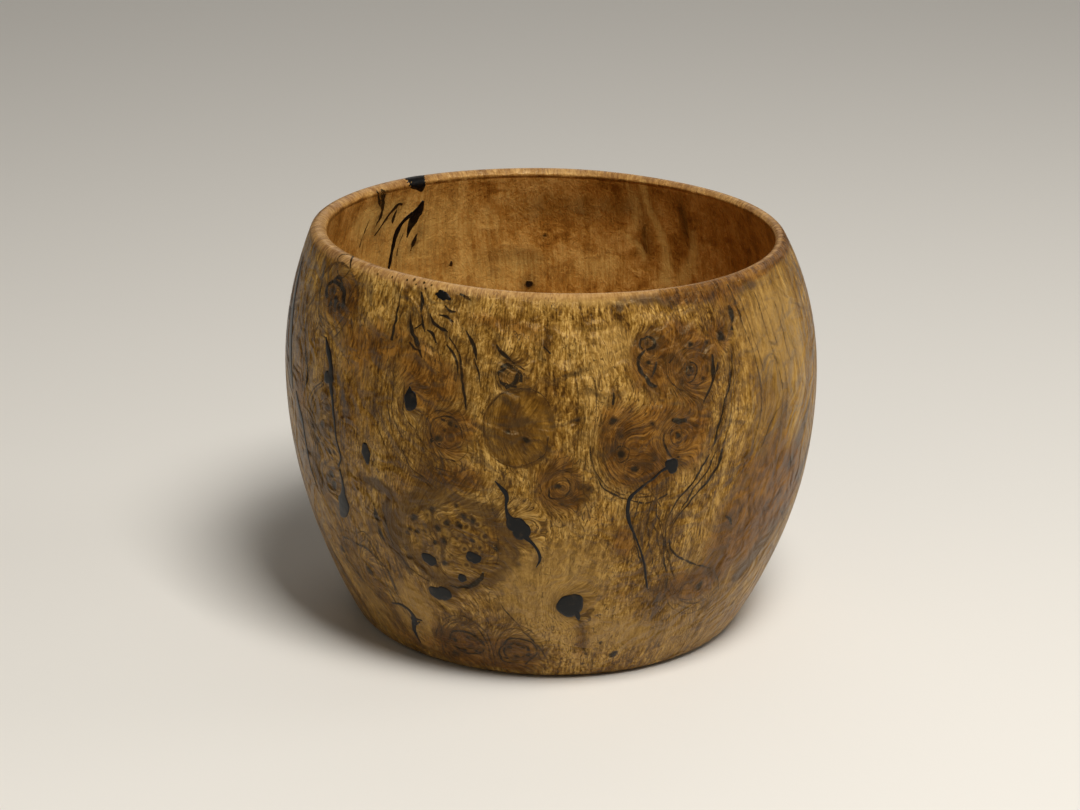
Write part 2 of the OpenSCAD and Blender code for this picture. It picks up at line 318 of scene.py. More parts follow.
def grain_place(azimuth, s):
    """Place in the block that the grain is read from. The azimuth is pushed by each eye's hump, so the
    growth rings close round the eye. The radius follows the wall only slightly, so fibres stay long."""
    push = sum(k * hump(azimuth, s, a, outside(z), reach, 1.15 * reach) for a, z, reach, k in EYES)
    sway = 1.2 * np.sin(np.radians(2 * azimuth) + s / 21) + 0.7 * np.sin(np.radians(5 * azimuth) - s / 9)
    for start, full, fade, end, top, slope in SLANTS:
        rise, fall = (azimuth - start) / (full - start), (azimuth - end) / (fade - end)
        share = np.clip(np.minimum(rise, fall), 0, 1)
        push = push + slope * share ** 2 * (3 - 2 * share) * np.clip(outside(top) - s, 0, 30)
    turned = np.radians(azimuth) + (push + sway) / GRAIN_R
    r, z, _, _ = section_at(s)
    knee = 33.0
    radius = GRAIN_R + 0.12 * (np.maximum(r, knee) - GRAIN_R) + np.minimum(r - knee, 0)
    return np.stack([radius * np.sin(turned), -radius * np.cos(turned), z + 0 * turned], -1)


def unevenness(azimuth, s):
    """Hand-finished wall: long waves of a quarter of a millimetre, faded out on the foot and the floor, a
    shallow dish on the disc eye, and a lip that is a little thicker on the left."""
    a = np.radians(azimuth)
    wave = 0.16 * np.sin(2 * a + 0.8 + s / 40) + 0.1 * np.sin(3 * a - s / 13) + 0.05 * np.sin(7 * a + s / 6)
    foot = np.clip((s - STRETCH_END["foot_edge"]) / 12, 0, 1)
    floor = np.clip((STRETCH_END["bowl"] - s) / 20, 0, 1)
    thick_left = 0.25 * np.sin(-a) * np.exp(-((s - LIP_TOP - 2) / 6) ** 2)
    dish = -0.2 * hump(azimuth, s, DISC_EYE[0], outside(DISC_EYE[1]), 5, 5)
    return (wave * 0.8 + dish) * foot * floor + thick_left


def skin(azimuth, s, lift=0.0):
    """Point of the finished surface: the turned section, moved by lift + unevenness along its normal, and
    leaned sideways by LEAN t - BEND t^2 at share t of the height. In millimetres."""
    a = np.radians(azimuth)
    r, z, normal_r, normal_z = section_at(s)
    out = lift + unevenness(azimuth, s)
    r, z = r + out * normal_r, z + out * normal_z
    t = z / CUP_H
    return np.stack([r * np.sin(a) + LEAN * t - BEND * t ** 2, -r * np.cos(a), z + 0 * a], -1)


# ---------------------------------------------------------------- mesh making

def wall_faces(rows, columns):
    """Quads of a rows by columns grid that closes round, point (i, j) having index i * columns + j."""
    i, j = np.meshgrid(np.arange(rows - 1), np.arange(columns), indexing="ij")
    k = (j + 1) % columns
    return np.stack([i * columns + j, i * columns + k, (i + 1) * columns + k, (i + 1) * columns + j],
                    -1).reshape(-1, 4)


class Parts:
    """Gathers grids of points into one mesh, with values for the wood at every point."""

    def __init__(self):
        self.azimuth, self.s, self.lift, self.soot = [], [], [], []
        self.quads, self.caps, self.flat = [], [], []
        self.count = 0

    def add(self, azimuth, s, lift, soot, quads, caps, flat):
        """One grid: its points, its quads, its many-sided caps, and which of its quads stay flat."""
        self.azimuth.append(azimuth.ravel())
        self.s.append(s.ravel())
        self.lift.append(lift.ravel())
        self.soot.append(soot.ravel())
        self.quads.append(quads + self.count)
        self.caps += [cap + self.count for cap in caps]
        self.flat.append(flat)
        self.count += azimuth.size

    def finish(self, name, wood):
        """Makes one object of all the grids. A wooden one also gets the values that its material reads."""
        azimuth, s, lift, soot = map(np.concatenate, (self.azimuth, self.s, self.lift, self.soot))
        quads = np.concatenate(self.quads)
        mesh = bpy.data.meshes.new(name)
        sizes = np.array([4] * len(quads) + [len(cap) for cap in self.caps], np.int32)
        corners = np.concatenate([quads.ravel()] + self.caps).astype(np.int32)
        mesh.vertices.add(len(azimuth))
        mesh.vertices.foreach_set("co", (skin(azimuth, s, lift) * MM).astype(np.float32).ravel())
        mesh.loops.add(len(corners))
        mesh.loops.foreach_set("vertex_index", corners)
        mesh.polygons.add(len(sizes))
        starts = np.concatenate([[0], np.cumsum(sizes)[:-1]]).astype(np.int32)
        mesh.polygons.foreach_set("loop_start", starts)
        mesh.update(calc_edges=True)
        flat = np.concatenate(self.flat + [np.ones(len(self.caps), bool)])
        mesh.attributes.new("sharp_face", "BOOLEAN", "FACE").data.foreach_set("value", flat)
        if wood:
            wood_values(mesh, azimuth, s, soot)
        mesh.validate()
        piece = bpy.data.objects.new(name, mesh)
        bpy.context.collection.objects.link(piece)
        return piece


def wood_values(mesh, azimuth, s, soot):
    """Stores what the wood's material reads at each point: grain place, stained patches with painted
    highlights and painted shade among them, figure, discs, soot, calm and the band along the lip's crest,
    glossier and painted paler as a highlight, exp(-(d / CREST_BAND_WIDTH)^4) at a distance d from its
    crest."""
    out = np.clip((LIP_TOP + 1.5 - s) / 2, 0, 1)
    brown, pale = stain_and_light_sum(azimuth, s, STAINS_AND_LIGHT)
    inner_brown, inner_pale = stain_and_light_sum(azimuth, s, INNER_STAINS_AND_SHADE)
    heart_and_shade = streak_sum(azimuth, s, HEARTWOOD_AND_SHADE) * out * np.clip((HEART_END - azimuth) / HEART_FADE, 0, 1)
    pips = np.max([hump(azimuth, s, a, outside(z), w, h, 4) for a, z, w, h in PIP_PATCHES], 0) * out
    near = np.max([hump(azimuth, s, a, outside(z), 1.9 * w, 2.1 * w) for a, z, w, _ in EYES], 0) * out
    calm = np.max([hump(azimuth, s, a, outside(z), w, h, 4) for a, z, w, h in CALM], 0) * out
    inner = np.clip((s - LIP_TOP - 0.6) / 1.6, 0, 1)
    inner_pale = inner_pale + streak_sum(azimuth, s, GOLD, inside)
    values = {
        "grain": grain_place(azimuth, s),
        "stain_and_light": np.stack([brown * out + inner_brown * (1 - out),
                           pale * out + inner_pale * (1 - out), heart_and_shade], -1),
        "figure": np.stack([pips, near, halo(azimuth, s)], -1),
        "disc": np.stack([disc_reach(azimuth, s, DISC_EYE), disc_reach(azimuth, s, BURL_RIM), inner], -1),
    }
    for name, data in values.items():
        layer = mesh.attributes.new(name, "FLOAT_VECTOR", "POINT")
        layer.data.foreach_set("vector", np.ascontiguousarray(data, np.float32).ravel())
    crest_gloss_and_highlight = np.exp(-((s - LIP_TOP) / CREST_BAND_WIDTH) ** 4)
    for name, data in (("soot", soot), ("calm", calm), ("crest_gloss_and_highlight", crest_gloss_and_highlight)):
        mesh.attributes.new(name, "FLOAT", "POINT").data.foreach_set("value", data.astype(np.float32))


def halo(azimuth, s):
    """Browning of the wood beside the lines and fills: the largest k exp(-(d / reach)^2), where d is the
    distance to a line's nearest point."""
    dark = np.zeros_like(azimuth)
    for place, path, strength in LINES + FILL_LINES:
        r0 = section_at(place[1])[0]
        dx = (np.mod(azimuth - place[0] + 180, 360) - 180) * np.radians(r0)
        dy = s - place[1]
        low, high = path[:, :2].min(0) - 4, path[:, :2].max(0) + 4
        close = np.flatnonzero((dx > low[0]) & (dx < high[0]) & (dy > low[1]) & (dy < high[1]))
        if not len(close):
            continue
        gap = np.hypot(dx[close, None] - path[:, 0], dy[close, None] - path[:, 1]) - path[:, 2] / 2
        reach = np.maximum(gap.min(1), 0) / 1.1
        dark[close] = np.maximum(dark[close], strength * np.exp(-reach ** 2))
    return dark


def cup_wood():
    """The cup's wall as one grid: section rows round the axis, closed by caps at the foot and the floor."""
    rows = np.concatenate([points if k == 0 else points[1:] for k, (points, _) in
                           enumerate(section(ROWS).values())])
    s = run_length(rows)
    s = s * FINE_S[-1] / s[-1]
    s[[0, -1]] = [HUB_R, FINE_S[-1] - HUB_R]
    azimuth, s = np.meshgrid(np.linspace(-180, 180, COLUMNS, endpoint=False), s)
    quads = wall_faces(len(s), COLUMNS)
    ring = np.arange(COLUMNS)
    caps = [ring[::-1].copy(), ring + (len(s) - 1) * COLUMNS]
    parts = Parts()
    parts.add(azimuth, s, 0 * s, 0 * s, quads, caps, np.zeros(len(quads), bool))
    return parts.finish("cup_wood", True)


def smooth_path(points, step):
    """Catmull-Rom curve through points (x, y, width), about one new point for each step of length."""
    p = np.array(points, float)
    p = np.concatenate([[2 * p[0] - p[1]], p, [2 * p[-1] - p[-2]]])
    pieces = []
    for a, b, c, d in zip(p[:-3], p[1:-2], p[2:-1], p[3:]):
        t = np.arange(0, 1, 1 / max(2, round(np.linalg.norm((c - b)[:2]) / step)))[:, None]
        pieces.append(0.5 * (2 * b + (c - a) * t + (2 * a - 5 * b + 4 * c - d) * t ** 2
                             + (3 * b - a - 3 * c + d) * t ** 3))
    return np.concatenate(pieces + [p[-2:-1]])


def wander(count, reach, generator, step=0.35):
    """Random numbers placed every reach millimetres along a path, with straight runs between them."""
    knots = generator.normal(size=int(count * step / reach) + 3)
    return np.interp(np.arange(count) * step / reach, np.arange(len(knots)), knots)


def sideways(path):
    """Unit vectors square to a path, to its left."""
    along = np.gradient(path[:, :2], axis=0)
    along /= np.linalg.norm(along, axis=1)[:, None] + 1e-9
    return np.stack([-along[:, 1], along[:, 0]], 1)


def ragged(points, jag, seed, swell=0.3):
    """Smooth path through points (x, y, width), shifted sideways and widened at random like a crack."""
    path = smooth_path(points, 0.35)
    generator = np.random.default_rng(seed)
    n = len(path)
    shift = jag * (wander(n, 2.6, generator) + 0.45 * wander(n, 0.8, generator))
    shift *= np.minimum(1, np.minimum(np.arange(n), np.arange(n)[::-1]) / 4)
    path[:, :2] += sideways(path) * shift[:, None]
    path[:, 2] *= np.clip(1 + swell * wander(n, 0.9, generator), 0.4, 1.7)
    return path


def strip(parts, place, path, top, depth, soot=1.0, seed=None, bar=(0, 0.4, 0.75, 1)):
    """Closed bar let into the skin along a path of (x, y, width), x and y in millimetres from place.
    Across, a runs from -1 to 1 through the values in bar and their opposites: the top is top (1 - a^4)
    above the skin and the soot fades as 1 - a^4."""
    side = sideways(path)
    n = len(path)
    half = np.maximum(path[:, 2] / 2, 0.03)
    if seed is not None:
        soot = soot * np.clip(0.92 + 0.25 * wander(n, 2.2, np.random.default_rng(seed)), 0.4, 1)[:, None]
    across = np.array([-a for a in bar[:0:-1]] + list(bar) + [1, -1])
    over = np.arange(len(across)) >= 2 * len(bar) - 1
    x = path[:, 0, None] + side[:, 0, None] * half[:, None] * across
    y = path[:, 1, None] + side[:, 1, None] * half[:, None] * across
    lift = np.where(over, -depth, top * (1 - across ** 4) + CLEAR) + 0 * x
    dark = soot * np.where(over, 0, 1 - across ** 4) * np.minimum(1, 1.3 * half / half.mean())[:, None]
    azimuth0, s0 = place
    r0 = section_at(s0)[0]
    m = len(across)
    quads = wall_faces(n, m)[:, ::-1]
    flat = np.tile(np.arange(m) >= m - 3, n - 1)
    caps = [np.arange(m), np.arange(m)[::-1] + (n - 1) * m]
    parts.add(azimuth0 + np.degrees(x / r0), s0 + y, lift, dark, quads, caps, flat)


def button(parts, place, x, y, radius, top, depth, soot=1.0, wobble=0.12, seed=0, count=28):
    """Closed round plug let into the skin: rings out to radius (1 + small waves), domed by
    top (1 - q^4) at a share q of the radius."""
    theta = np.linspace(0, 2 * np.pi, count, endpoint=False)
    phase = np.random.default_rng(seed).uniform(0, 2 * np.pi, 3)
    edge = radius * (1 + wobble * (0.6 * np.sin(2 * theta + phase[0]) + 0.4 * np.sin(3 * theta + phase[1])
                                   + 0.25 * np.sin(5 * theta + phase[2])))
    share = np.array([0.04, 0.25, 0.45, 0.65, 0.83, 1, 1])[:, None]
    under = np.array([0, 0, 0, 0, 0, 0, 1])[:, None]
    px, py = x + share * edge * np.cos(theta), y + share * edge * np.sin(theta)
    lift = np.where(under, -depth, top * (1 - share ** 4) + CLEAR) + 0 * px
    dark = soot * np.where(under, 0, 1 - share ** 2) + 0 * px
    azimuth0, s0 = place
    r0 = section_at(s0)[0]
    quads = wall_faces(len(share), count)[:, ::-1]
    flat = np.repeat(np.arange(len(share) - 1) >= 5, count)
    ring = np.arange(count)
    caps = [ring, ring[::-1] + (len(share) - 1) * count]
    parts.add(azimuth0 + np.degrees(px / r0), s0 + py, lift, dark, quads, caps, flat)


# ---------------------------------------------------------------- resin fills
# Name, azimuth, height, knots as (x, y, radius), veins as lists of (x, y, width), in millimetres.
FILLS = [
    ("teardrop", -6.1, 32.8, [(-0.5, 0.6, 1.6), (0.4, -0.5, 1.6)],
     [[(-3.9, 8.4, 0.2), (-3.1, 7.5, 0.5), (-2.3, 6.6, 0.8), (-2, 5.4, 0.6), (-2.2, 4.2, 0.4),
       (-2.1, 3, 0.5), (-1.6, 1.7, 1.2), (-0.5, 0.6, 2.6)],
      [(0.4, -0.6, 2.6), (1.3, -1.9, 1), (2.5, -3.2, 0.6), (3.2, -4.7, 0.5), (3.4, -6, 0.5),
       (2.8, -7.6, 0.2)]]),
    ("round", 5, 17.5, [(0, 0, 2.45)], [[(0.9, -1.2, 1.6), (1.4, -2.2, 1), (1.7, -3.5, 0.3)]]),
    ("low_oval", -25, 17.5, [(-0.7, -0.1, 1.5), (0.7, 0.1, 1.5)], [[(-0.7, -0.1, 2.4), (0.7, 0.1, 2.4)]]),
    ("left_pea", -26.5, 24.2, [(-0.2, 0.2, 1.2), (0.4, -0.1, 1.1)], []),
    ("right_pea", -16, 26.2, [(-0.4, 0.2, 1), (0.4, -0.1, 1)], []),
    ("small_pea", -19, 21.7, [(0, 0, 0.85)], []),
    ("high_oval", -29, 53, [(0, 0.5, 1.2), (0.1, -0.6, 1.2)],
     [[(0.1, -0.6, 2), (0, 0.6, 2.1), (-0.2, 2.3, 0.3)]]),
    ("seed", -40.3, 41.5, [],
     [[(-0.1, 2, 0.6), (-0.1, 1.2, 1.6), (0, 0.2, 1.9), (0.1, -0.8, 1.6), (0.2, -1.9, 0.5)]]),
    ("long_crack", -51, 48, [(-1.2, 4.4, 1.1), (-0.6, 4.2, 0.9)],
     [[(-3, 11, 0.4), (-2, 9.4, 1.2), (-1.2, 8.2, 1.3), (-0.5, 6.6, 1.1), (-0.3, 4.6, 1.6), (0, 2.6, 1),
       (0.6, 0.2, 0.7), (1, -3, 0.5), (1.2, -6, 0.5), (1.9, -8.2, 0.5), (2, -9.6, 0.5), (1, -11.2, 0.4)]]),
    ("side_knot", -50, 29.5, [(-0.3, -0.8, 1.3), (0.3, 0.4, 1.2)],
     [[(0.5, 7, 0.4), (0.7, 4.4, 0.7), (0.6, 2.4, 1.1), (0.2, 0.6, 2.9), (-0.6, -1.4, 2.8),
       (-1.8, -2.9, 0.7)]]),
    ("foot_crack", -36, 8.5, [(0.5, 1.2, 0.7)],
     [[(-3.6, 3.6, 0.3), (-1.6, 4.1, 0.6), (0.1, 3.4, 0.8), (0.7, 1.6, 1.1), (0.2, 0, 0.9),
       (-0.5, -2.2, 0.8), (-0.2, -5.2, 0.3)],
      [(0.5, 1.4, 0.8), (2.4, 1.6, 0.3)],
      [(0.2, -0.2, 0.7), (1.8, 1, 0.3)]]),
    ("branch_crack", 20, 35, [(4, 8.6, 1.1), (4.3, 7.9, 1)],
     [[(4.2, 8.2, 1.5), (2.4, 7.6, 0.5), (0.6, 6.2, 0.4), (-1.4, 4.9, 0.5), (-3, 3.6, 0.7),
       (-3.4, 1.4, 0.7), (-3, -1.4, 0.6), (-1.6, -4.6, 0.3), (-0.2, -8, 0.35), (1, -12, 0.4),
       (2, -15.6, 0.3)]]),
    ("edge_seam", -74, 57, [],
     [[(-4.4, 10, 0.4), (-2.8, 5.5, 1.8), (-1, -0.5, 2.4), (0.8, -6, 2), (2.8, -11.5, 0.4)]]),
    ("edge_notch", -65, 38, [],
     [[(-2.4, 8, 0.3), (-1.2, 5.2, 1.3), (-0.2, 3.2, 1.5), (0.3, 1.8, 0.7), (0.7, -2, 0.8), (1.2, -5, 0.5),
       (2.6, -8, 0.3)]]),
]


def resin_piece(name, place, knots, veins):
    """One fill: a domed plug for each knot and a domed bar for each vein, flush with the skin."""
    parts = Parts()
    for k, (x, y, r) in enumerate(knots):
        button(parts, place, x, y, r, PLUG_PROUD, RESIN_DEPTH, seed=len(name) + k, count=48)
    for k, vein in enumerate(veins):
        strip(parts, place, ragged(vein, 0.05, 7 * len(name) + k, 0.12), RESIN_PROUD, RESIN_DEPTH)
    return parts.finish(name + "_resin", False)


# ---------------------------------------------------------------- dark checks and bark specks
# Hairline checks of the outer skin: (azimuth, height, width) along each, and darkness
CHECKS = [
    ([(-34.2, 70.5, 0.2), (-34.5, 66, 0.35), (-34.7, 62, 0.5)], 0.8),
    ([(-22, 50.8, 0.3), (-20, 50.5, 1), (-18.4, 49.8, 0.4)], 0.8),
    ([(-24.6, 46.4, 0.3), (-23.2, 47.1, 1.2), (-22.2, 46.2, 0.4)], 0.65),
    ([(-9.8, 60.4, 0.4), (-8.2, 60.9, 0.7), (-6.2, 59.8, 0.9), (-7, 58, 0.6), (-8.8, 57.2, 0.6)], 0.9),
    ([(-29, 70.4, 0.3), (-28.6, 68.8, 0.6), (-28.4, 67.2, 0.2)], 0.9),
    ([(-31, 67.2, 0.2), (-30.8, 65.4, 0.5), (-29.8, 63.6, 0.8), (-28.2, 62, 0.7), (-26.8, 60.2, 0.2)], 1),
    ([(-29.8, 64.6, 0.2), (-28.8, 64.8, 0.4), (-27.6, 65.8, 0.2)], 0.8),
    ([(-30.2, 62.4, 0.2), (-28.8, 61.6, 0.4), (-27.6, 61.6, 0.2)], 0.7),
    ([(-26.4, 64.8, 0.2), (-24.8, 64, 0.5), (-23.8, 62.8, 0.2)], 0.9),
    ([(-21.6, 63, 0.2), (-20, 61.6, 0.4), (-19, 60, 0.3), (-18.6, 58.4, 0.2)], 0.7),
    ([(-23, 69, 0.2), (-21.6, 68.2, 0.4), (-20.2, 68.2, 0.2)], 0.8),
    ([(-28.2, 67, 0.2), (-27.6, 65.8, 0.5), (-26.8, 64.4, 0.2)], 0.9),
    ([(-26.2, 67.4, 0.2), (-25.2, 66.2, 0.6), (-23.6, 65.4, 0.7), (-21.4, 65, 0.2)], 1),
    ([(-24, 67.4, 0.2), (-22, 67, 0.4), (-20.4, 66.6, 0.2)], 0.7),
    ([(-17.6, 65.6, 0.3), (-16.2, 64.2, 0.9), (-15.2, 62.6, 0.5), (-14.9, 61.2, 0.2)], 1),
    ([(-19, 62.4, 0.2), (-17.9, 60.4, 0.4), (-17.5, 58, 0.55), (-17.3, 56, 0.5), (-16.7, 53, 0.2)], 1),
    ([(-21.2, 64.2, 0.2), (-19.6, 62.9, 0.3), (-18.9, 62, 0.2)], 0.6),
    ([(-15.4, 61.4, 0.2), (-14.4, 59, 0.3), (-13.8, 57, 0.2)], 0.7),
    ([(-10.9, 63.9, 0.3), (-9.4, 62.5, 0.5), (-7, 61.2, 0.3), (-4.8, 60.2, 0.2)], 0.8),
    ([(-1, 64, 0.3), (0.4, 62.9, 0.3)], 0.8),
    ([(13, 56.6, 0.3), (12.9, 55.6, 0.4), (12.7, 54.6, 0.3)], 0.9),
    ([(-64.8, 60, 0.2), (-63, 55.4, 0.5), (-61.2, 52.4, 0.8), (-61, 50.4, 0.8), (-62, 48.3, 0.3)], 0.9),
    ([(-84, 67, 0.6), (-82, 61, 2), (-79.6, 55, 2.2), (-77, 49, 0.6)], 0.7),
    ([(-19.8, 71, 0.3), (-18.6, 70.8, 0.6), (-17, 70.2, 0.2)], 0.9),
    ([(-56.6, 68, 0.4), (-54.6, 69, 0.6), (-52.4, 68, 0.5)], 0.8),
    ([(-53, 66.6, 0.5), (-52.6, 65, 1.2), (-53.4, 63.4, 0.7)], 0.95),
    ([(-61.4, 71, 0.3), (-61.8, 68, 0.5), (-60.8, 64.6, 0.4), (-59, 62, 0.3), (-56.4, 60.4, 0.2)], 0.6),
    ([(20.4, 63, 0.3), (19.1, 61.6, 0.5), (19, 60, 0.7), (20, 58.6, 0.5), (20.6, 57.6, 0.8),
      (22.2, 57, 0.3)], 0.8),
    ([(22.6, 61, 0.2), (22, 59.6, 0.4), (21.2, 58.6, 0.2)], 0.7),
    ([(36, 60.8, 0.3), (36, 59, 0.7), (35.6, 57.2, 0.6), (34.6, 55.6, 0.4), (33, 54, 0.3),
      (32.2, 52.6, 0.2)], 0.9),
    ([(37.2, 59.4, 0.2), (36.6, 58.4, 0.5), (35.4, 57, 0.2)], 0.8),
    ([(43.6, 67.8, 0.5), (43.4, 66, 0.9), (42.6, 63.8, 0.4)], 0.8),
    ([(41.4, 60.5, 0.2), (39.8, 55.5, 0.3), (37.6, 52.4, 0.4), (36.2, 49, 0.4), (34.4, 45, 0.35),
      (32, 41.8, 0.4), (29.4, 39, 0.35), (26.4, 36.2, 0.3), (24.6, 33.6, 0.2)], 0.85),
    ([(35.6, 44.6, 0.2), (33.2, 41, 0.3), (30.6, 38.4, 0.3), (28, 35.8, 0.3), (25.8, 32.6, 0.2)], 0.7),
    ([(37, 44.6, 0.3), (36, 41.8, 0.6), (33.6, 39.2, 0.4), (30.4, 36.6, 0.3), (27.4, 33.8, 0.3),
      (25.6, 31, 0.3), (26, 28.4, 0.35), (28, 26, 0.35), (31, 24.4, 0.5), (34.4, 23, 0.4),
      (38, 21.6, 0.25), (41.6, 19, 0.2), (44, 15.6, 0.2)], 0.7),
    ([(23.4, 49.6, 0.2), (23, 47.6, 0.4), (23.8, 46, 0.3), (25, 44.8, 0.4), (26.8, 44.6, 0.2)], 0.75),
    ([(25, 51.2, 0.4), (26.6, 51, 1.0), (28.4, 50.8, 0.4)], 1),
    ([(-22.4, 19.7, 0.3), (-19.4, 19.8, 0.6), (-17, 20.6, 1.0), (-15, 22, 0.9), (-14, 23.6, 0.4)], 0.9),
    ([(-34.4, 24, 0.2), (-32.4, 21.8, 0.4), (-29.6, 20.4, 0.3), (-27.4, 19.6, 0.2)], 0.6),
    ([(-29, 21.8, 0.2), (-26.6, 21, 0.3), (-24.4, 20.6, 0.2)], 0.5),
    ([(-37.6, 14.4, 0.3), (-38.4, 17.4, 0.6), (-40.4, 20.4, 0.5), (-43.6, 21.8, 0.5), (-49, 22.4, 0.4),
      (-54, 22, 0.3)], 0.6),
    ([(-54.6, 16.6, 0.3), (-51.6, 14.6, 0.5), (-48, 13, 0.4), (-44.4, 11.8, 0.3)], 0.55),
    ([(-36.6, 60, 0.2), (-37, 56.6, 0.3), (-37.2, 54.8, 0.2)], 0.5),
    ([(-37.8, 56, 0.2), (-38, 50, 0.25), (-35.8, 45.6, 0.3), (-33.6, 41.8, 0.3), (-30.6, 40, 0.4),
      (-27, 39.8, 0.3), (-24, 38, 0.3)], 0.45),
    ([(-31, 44.4, 0.2), (-29, 41.4, 0.3), (-26, 39.8, 0.4), (-22.6, 38, 0.3)], 0.5),
    ([(-13, 21.4, 0.2), (-11, 18.6, 0.3), (-8.6, 15, 0.3), (-5.4, 11.4, 0.4), (-2, 8, 0.3), (0, 5.4, 0.2)],
     0.5),
    ([(7.4, 14.4, 0.5), (8.6, 11.6, 0.7), (9.6, 8.4, 0.8), (10.6, 5, 0.4)], 0.35),
    ([(-39.6, 32.8, 0.2), (-39.2, 31, 0.9), (-39, 29, 1.3), (-38.8, 27, 1.0), (-37.8, 25.2, 0.2)], 0.75),
    ([(17.4, 44.6, 0.2), (18.8, 40.6, 0.3), (21.4, 38, 0.3), (23, 36, 0.2)], 0.4),
    ([(39.6, 31.6, 0.3), (41, 30.6, 0.6), (42.2, 29.2, 0.2)], 0.7),
    ([(61.5, 27.2, 0.3), (64.6, 25.4, 0.6), (68, 23.2, 0.3)], 0.6),
    ([(48.6, 42.6, 0.2), (50.4, 45.4, 0.4), (52.6, 47.4, 0.3), (55.4, 48.4, 0.2)], 0.5),
    ([(43, 38.8, 0.3), (43.6, 42, 0.7), (45.4, 41, 0.3)], 0.4),
    ([(26, 14.8, 0.4), (25.6, 17.4, 1.2), (27.2, 19.6, 0.4)], 0.5),
    ([(-68, 69.6, 0.2), (-66.4, 63, 0.3), (-66, 57, 0.2)], 0.5),
]

# Checks of the inner skin, listed in the same way
INNER_CHECKS = [
    ([(-142.6, 60.6, 0.3), (-141.8, 58.8, 0.8), (-140.8, 57, 0.3)], 0.8),
    ([(-216.4, 68.6, 0.3), (-217, 65, 0.8), (-217.8, 61, 0.3)], 0.3),
    ([(-205, 62.4, 0.3), (-204.4, 59, 1.1), (-204.8, 56, 0.3)], 0.3),
    ([(-127.4, 71.4, 0.9), (-128.6, 69, 1.4), (-129.4, 66.8, 1.0), (-128.6, 65, 0.5), (-127, 63.4, 0.2)],
     1),
    ([(-125.6, 71.4, 0.5), (-127, 69.6, 0.7), (-128.2, 68, 0.3)], 0.9),
    ([(-136.4, 67.2, 0.3), (-134.8, 67.4, 0.6), (-132.4, 66, 0.5), (-130.6, 64.2, 0.4), (-127.6, 62, 0.2)],
     0.75),
    ([(-134.6, 66.4, 0.3), (-133.6, 64.8, 0.6), (-133.8, 63.6, 0.2)], 0.7),
    ([(-138, 61, 0.2), (-136.8, 59, 0.3), (-136.4, 56.6, 0.2)], 0.6),
    ([(-124.6, 66, 0.2), (-122.6, 62.6, 0.3), (-122, 60.6, 0.2)], 0.6),
    ([(-153, 53.6, 0.5), (-152.8, 52.6, 0.5)], 0.6),
]

# Rings drawn round an eye: azimuth, height, half width, half height, line width, darkness
RINGS = [
    (-6.1, 50.5, 5.8, 6.9, 0.2, 0.4), (1.8, 40.5, 1.7, 2.2, 0.25, 0.55), (1.8, 40.5, 2.8, 3.6, 0.2, 0.4),
    (-54.4, 66, 3.0, 2.2, 0.8, 1), (-54, 66, 6.2, 5.2, 0.3, 0.35), (29.8, 58.8, 0.75, 0.75, 0.3, 0.8),
    (29.8, 58.6, 1.7, 1.7, 0.25, 0.7), (29.8, 59, 3.8, 3.6, 0.25, 0.45), (20.9, 64, 1.15, 1.2, 0.4, 0.75),
    (-8, 59, 1.9, 1.7, 0.4, 0.85), (-7.8, 59, 2.6, 2.5, 0.2, 0.4), (26, 48.4, 1.3, 1.5, 0.2, 0.5),
    (14.2, 46.3, 1.25, 1.25, 0.2, 0.5), (17, 43.4, 1.9, 1.8, 0.2, 0.4), (-21, 48.6, 2.6, 3, 0.2, 0.5),
    (-21, 48, 3.6, 4.6, 0.2, 0.4), (-21, 47.4, 4.6, 6, 0.2, 0.3), (-20.8, 7, 3.4, 2.8, 0.4, 0.9),
    (-7.4, 6.4, 3.6, 3.4, 0.3, 0.8), (-7.6, 6.6, 2.2, 2.2, 0.3, 0.9), (36.4, 18, 3.4, 3, 0.2, 0.4),
    (-46, 17.4, 2.4, 2, 0.2, 0.35), (-54.4, 71, 2.2, 2, 0.3, 0.5),
]

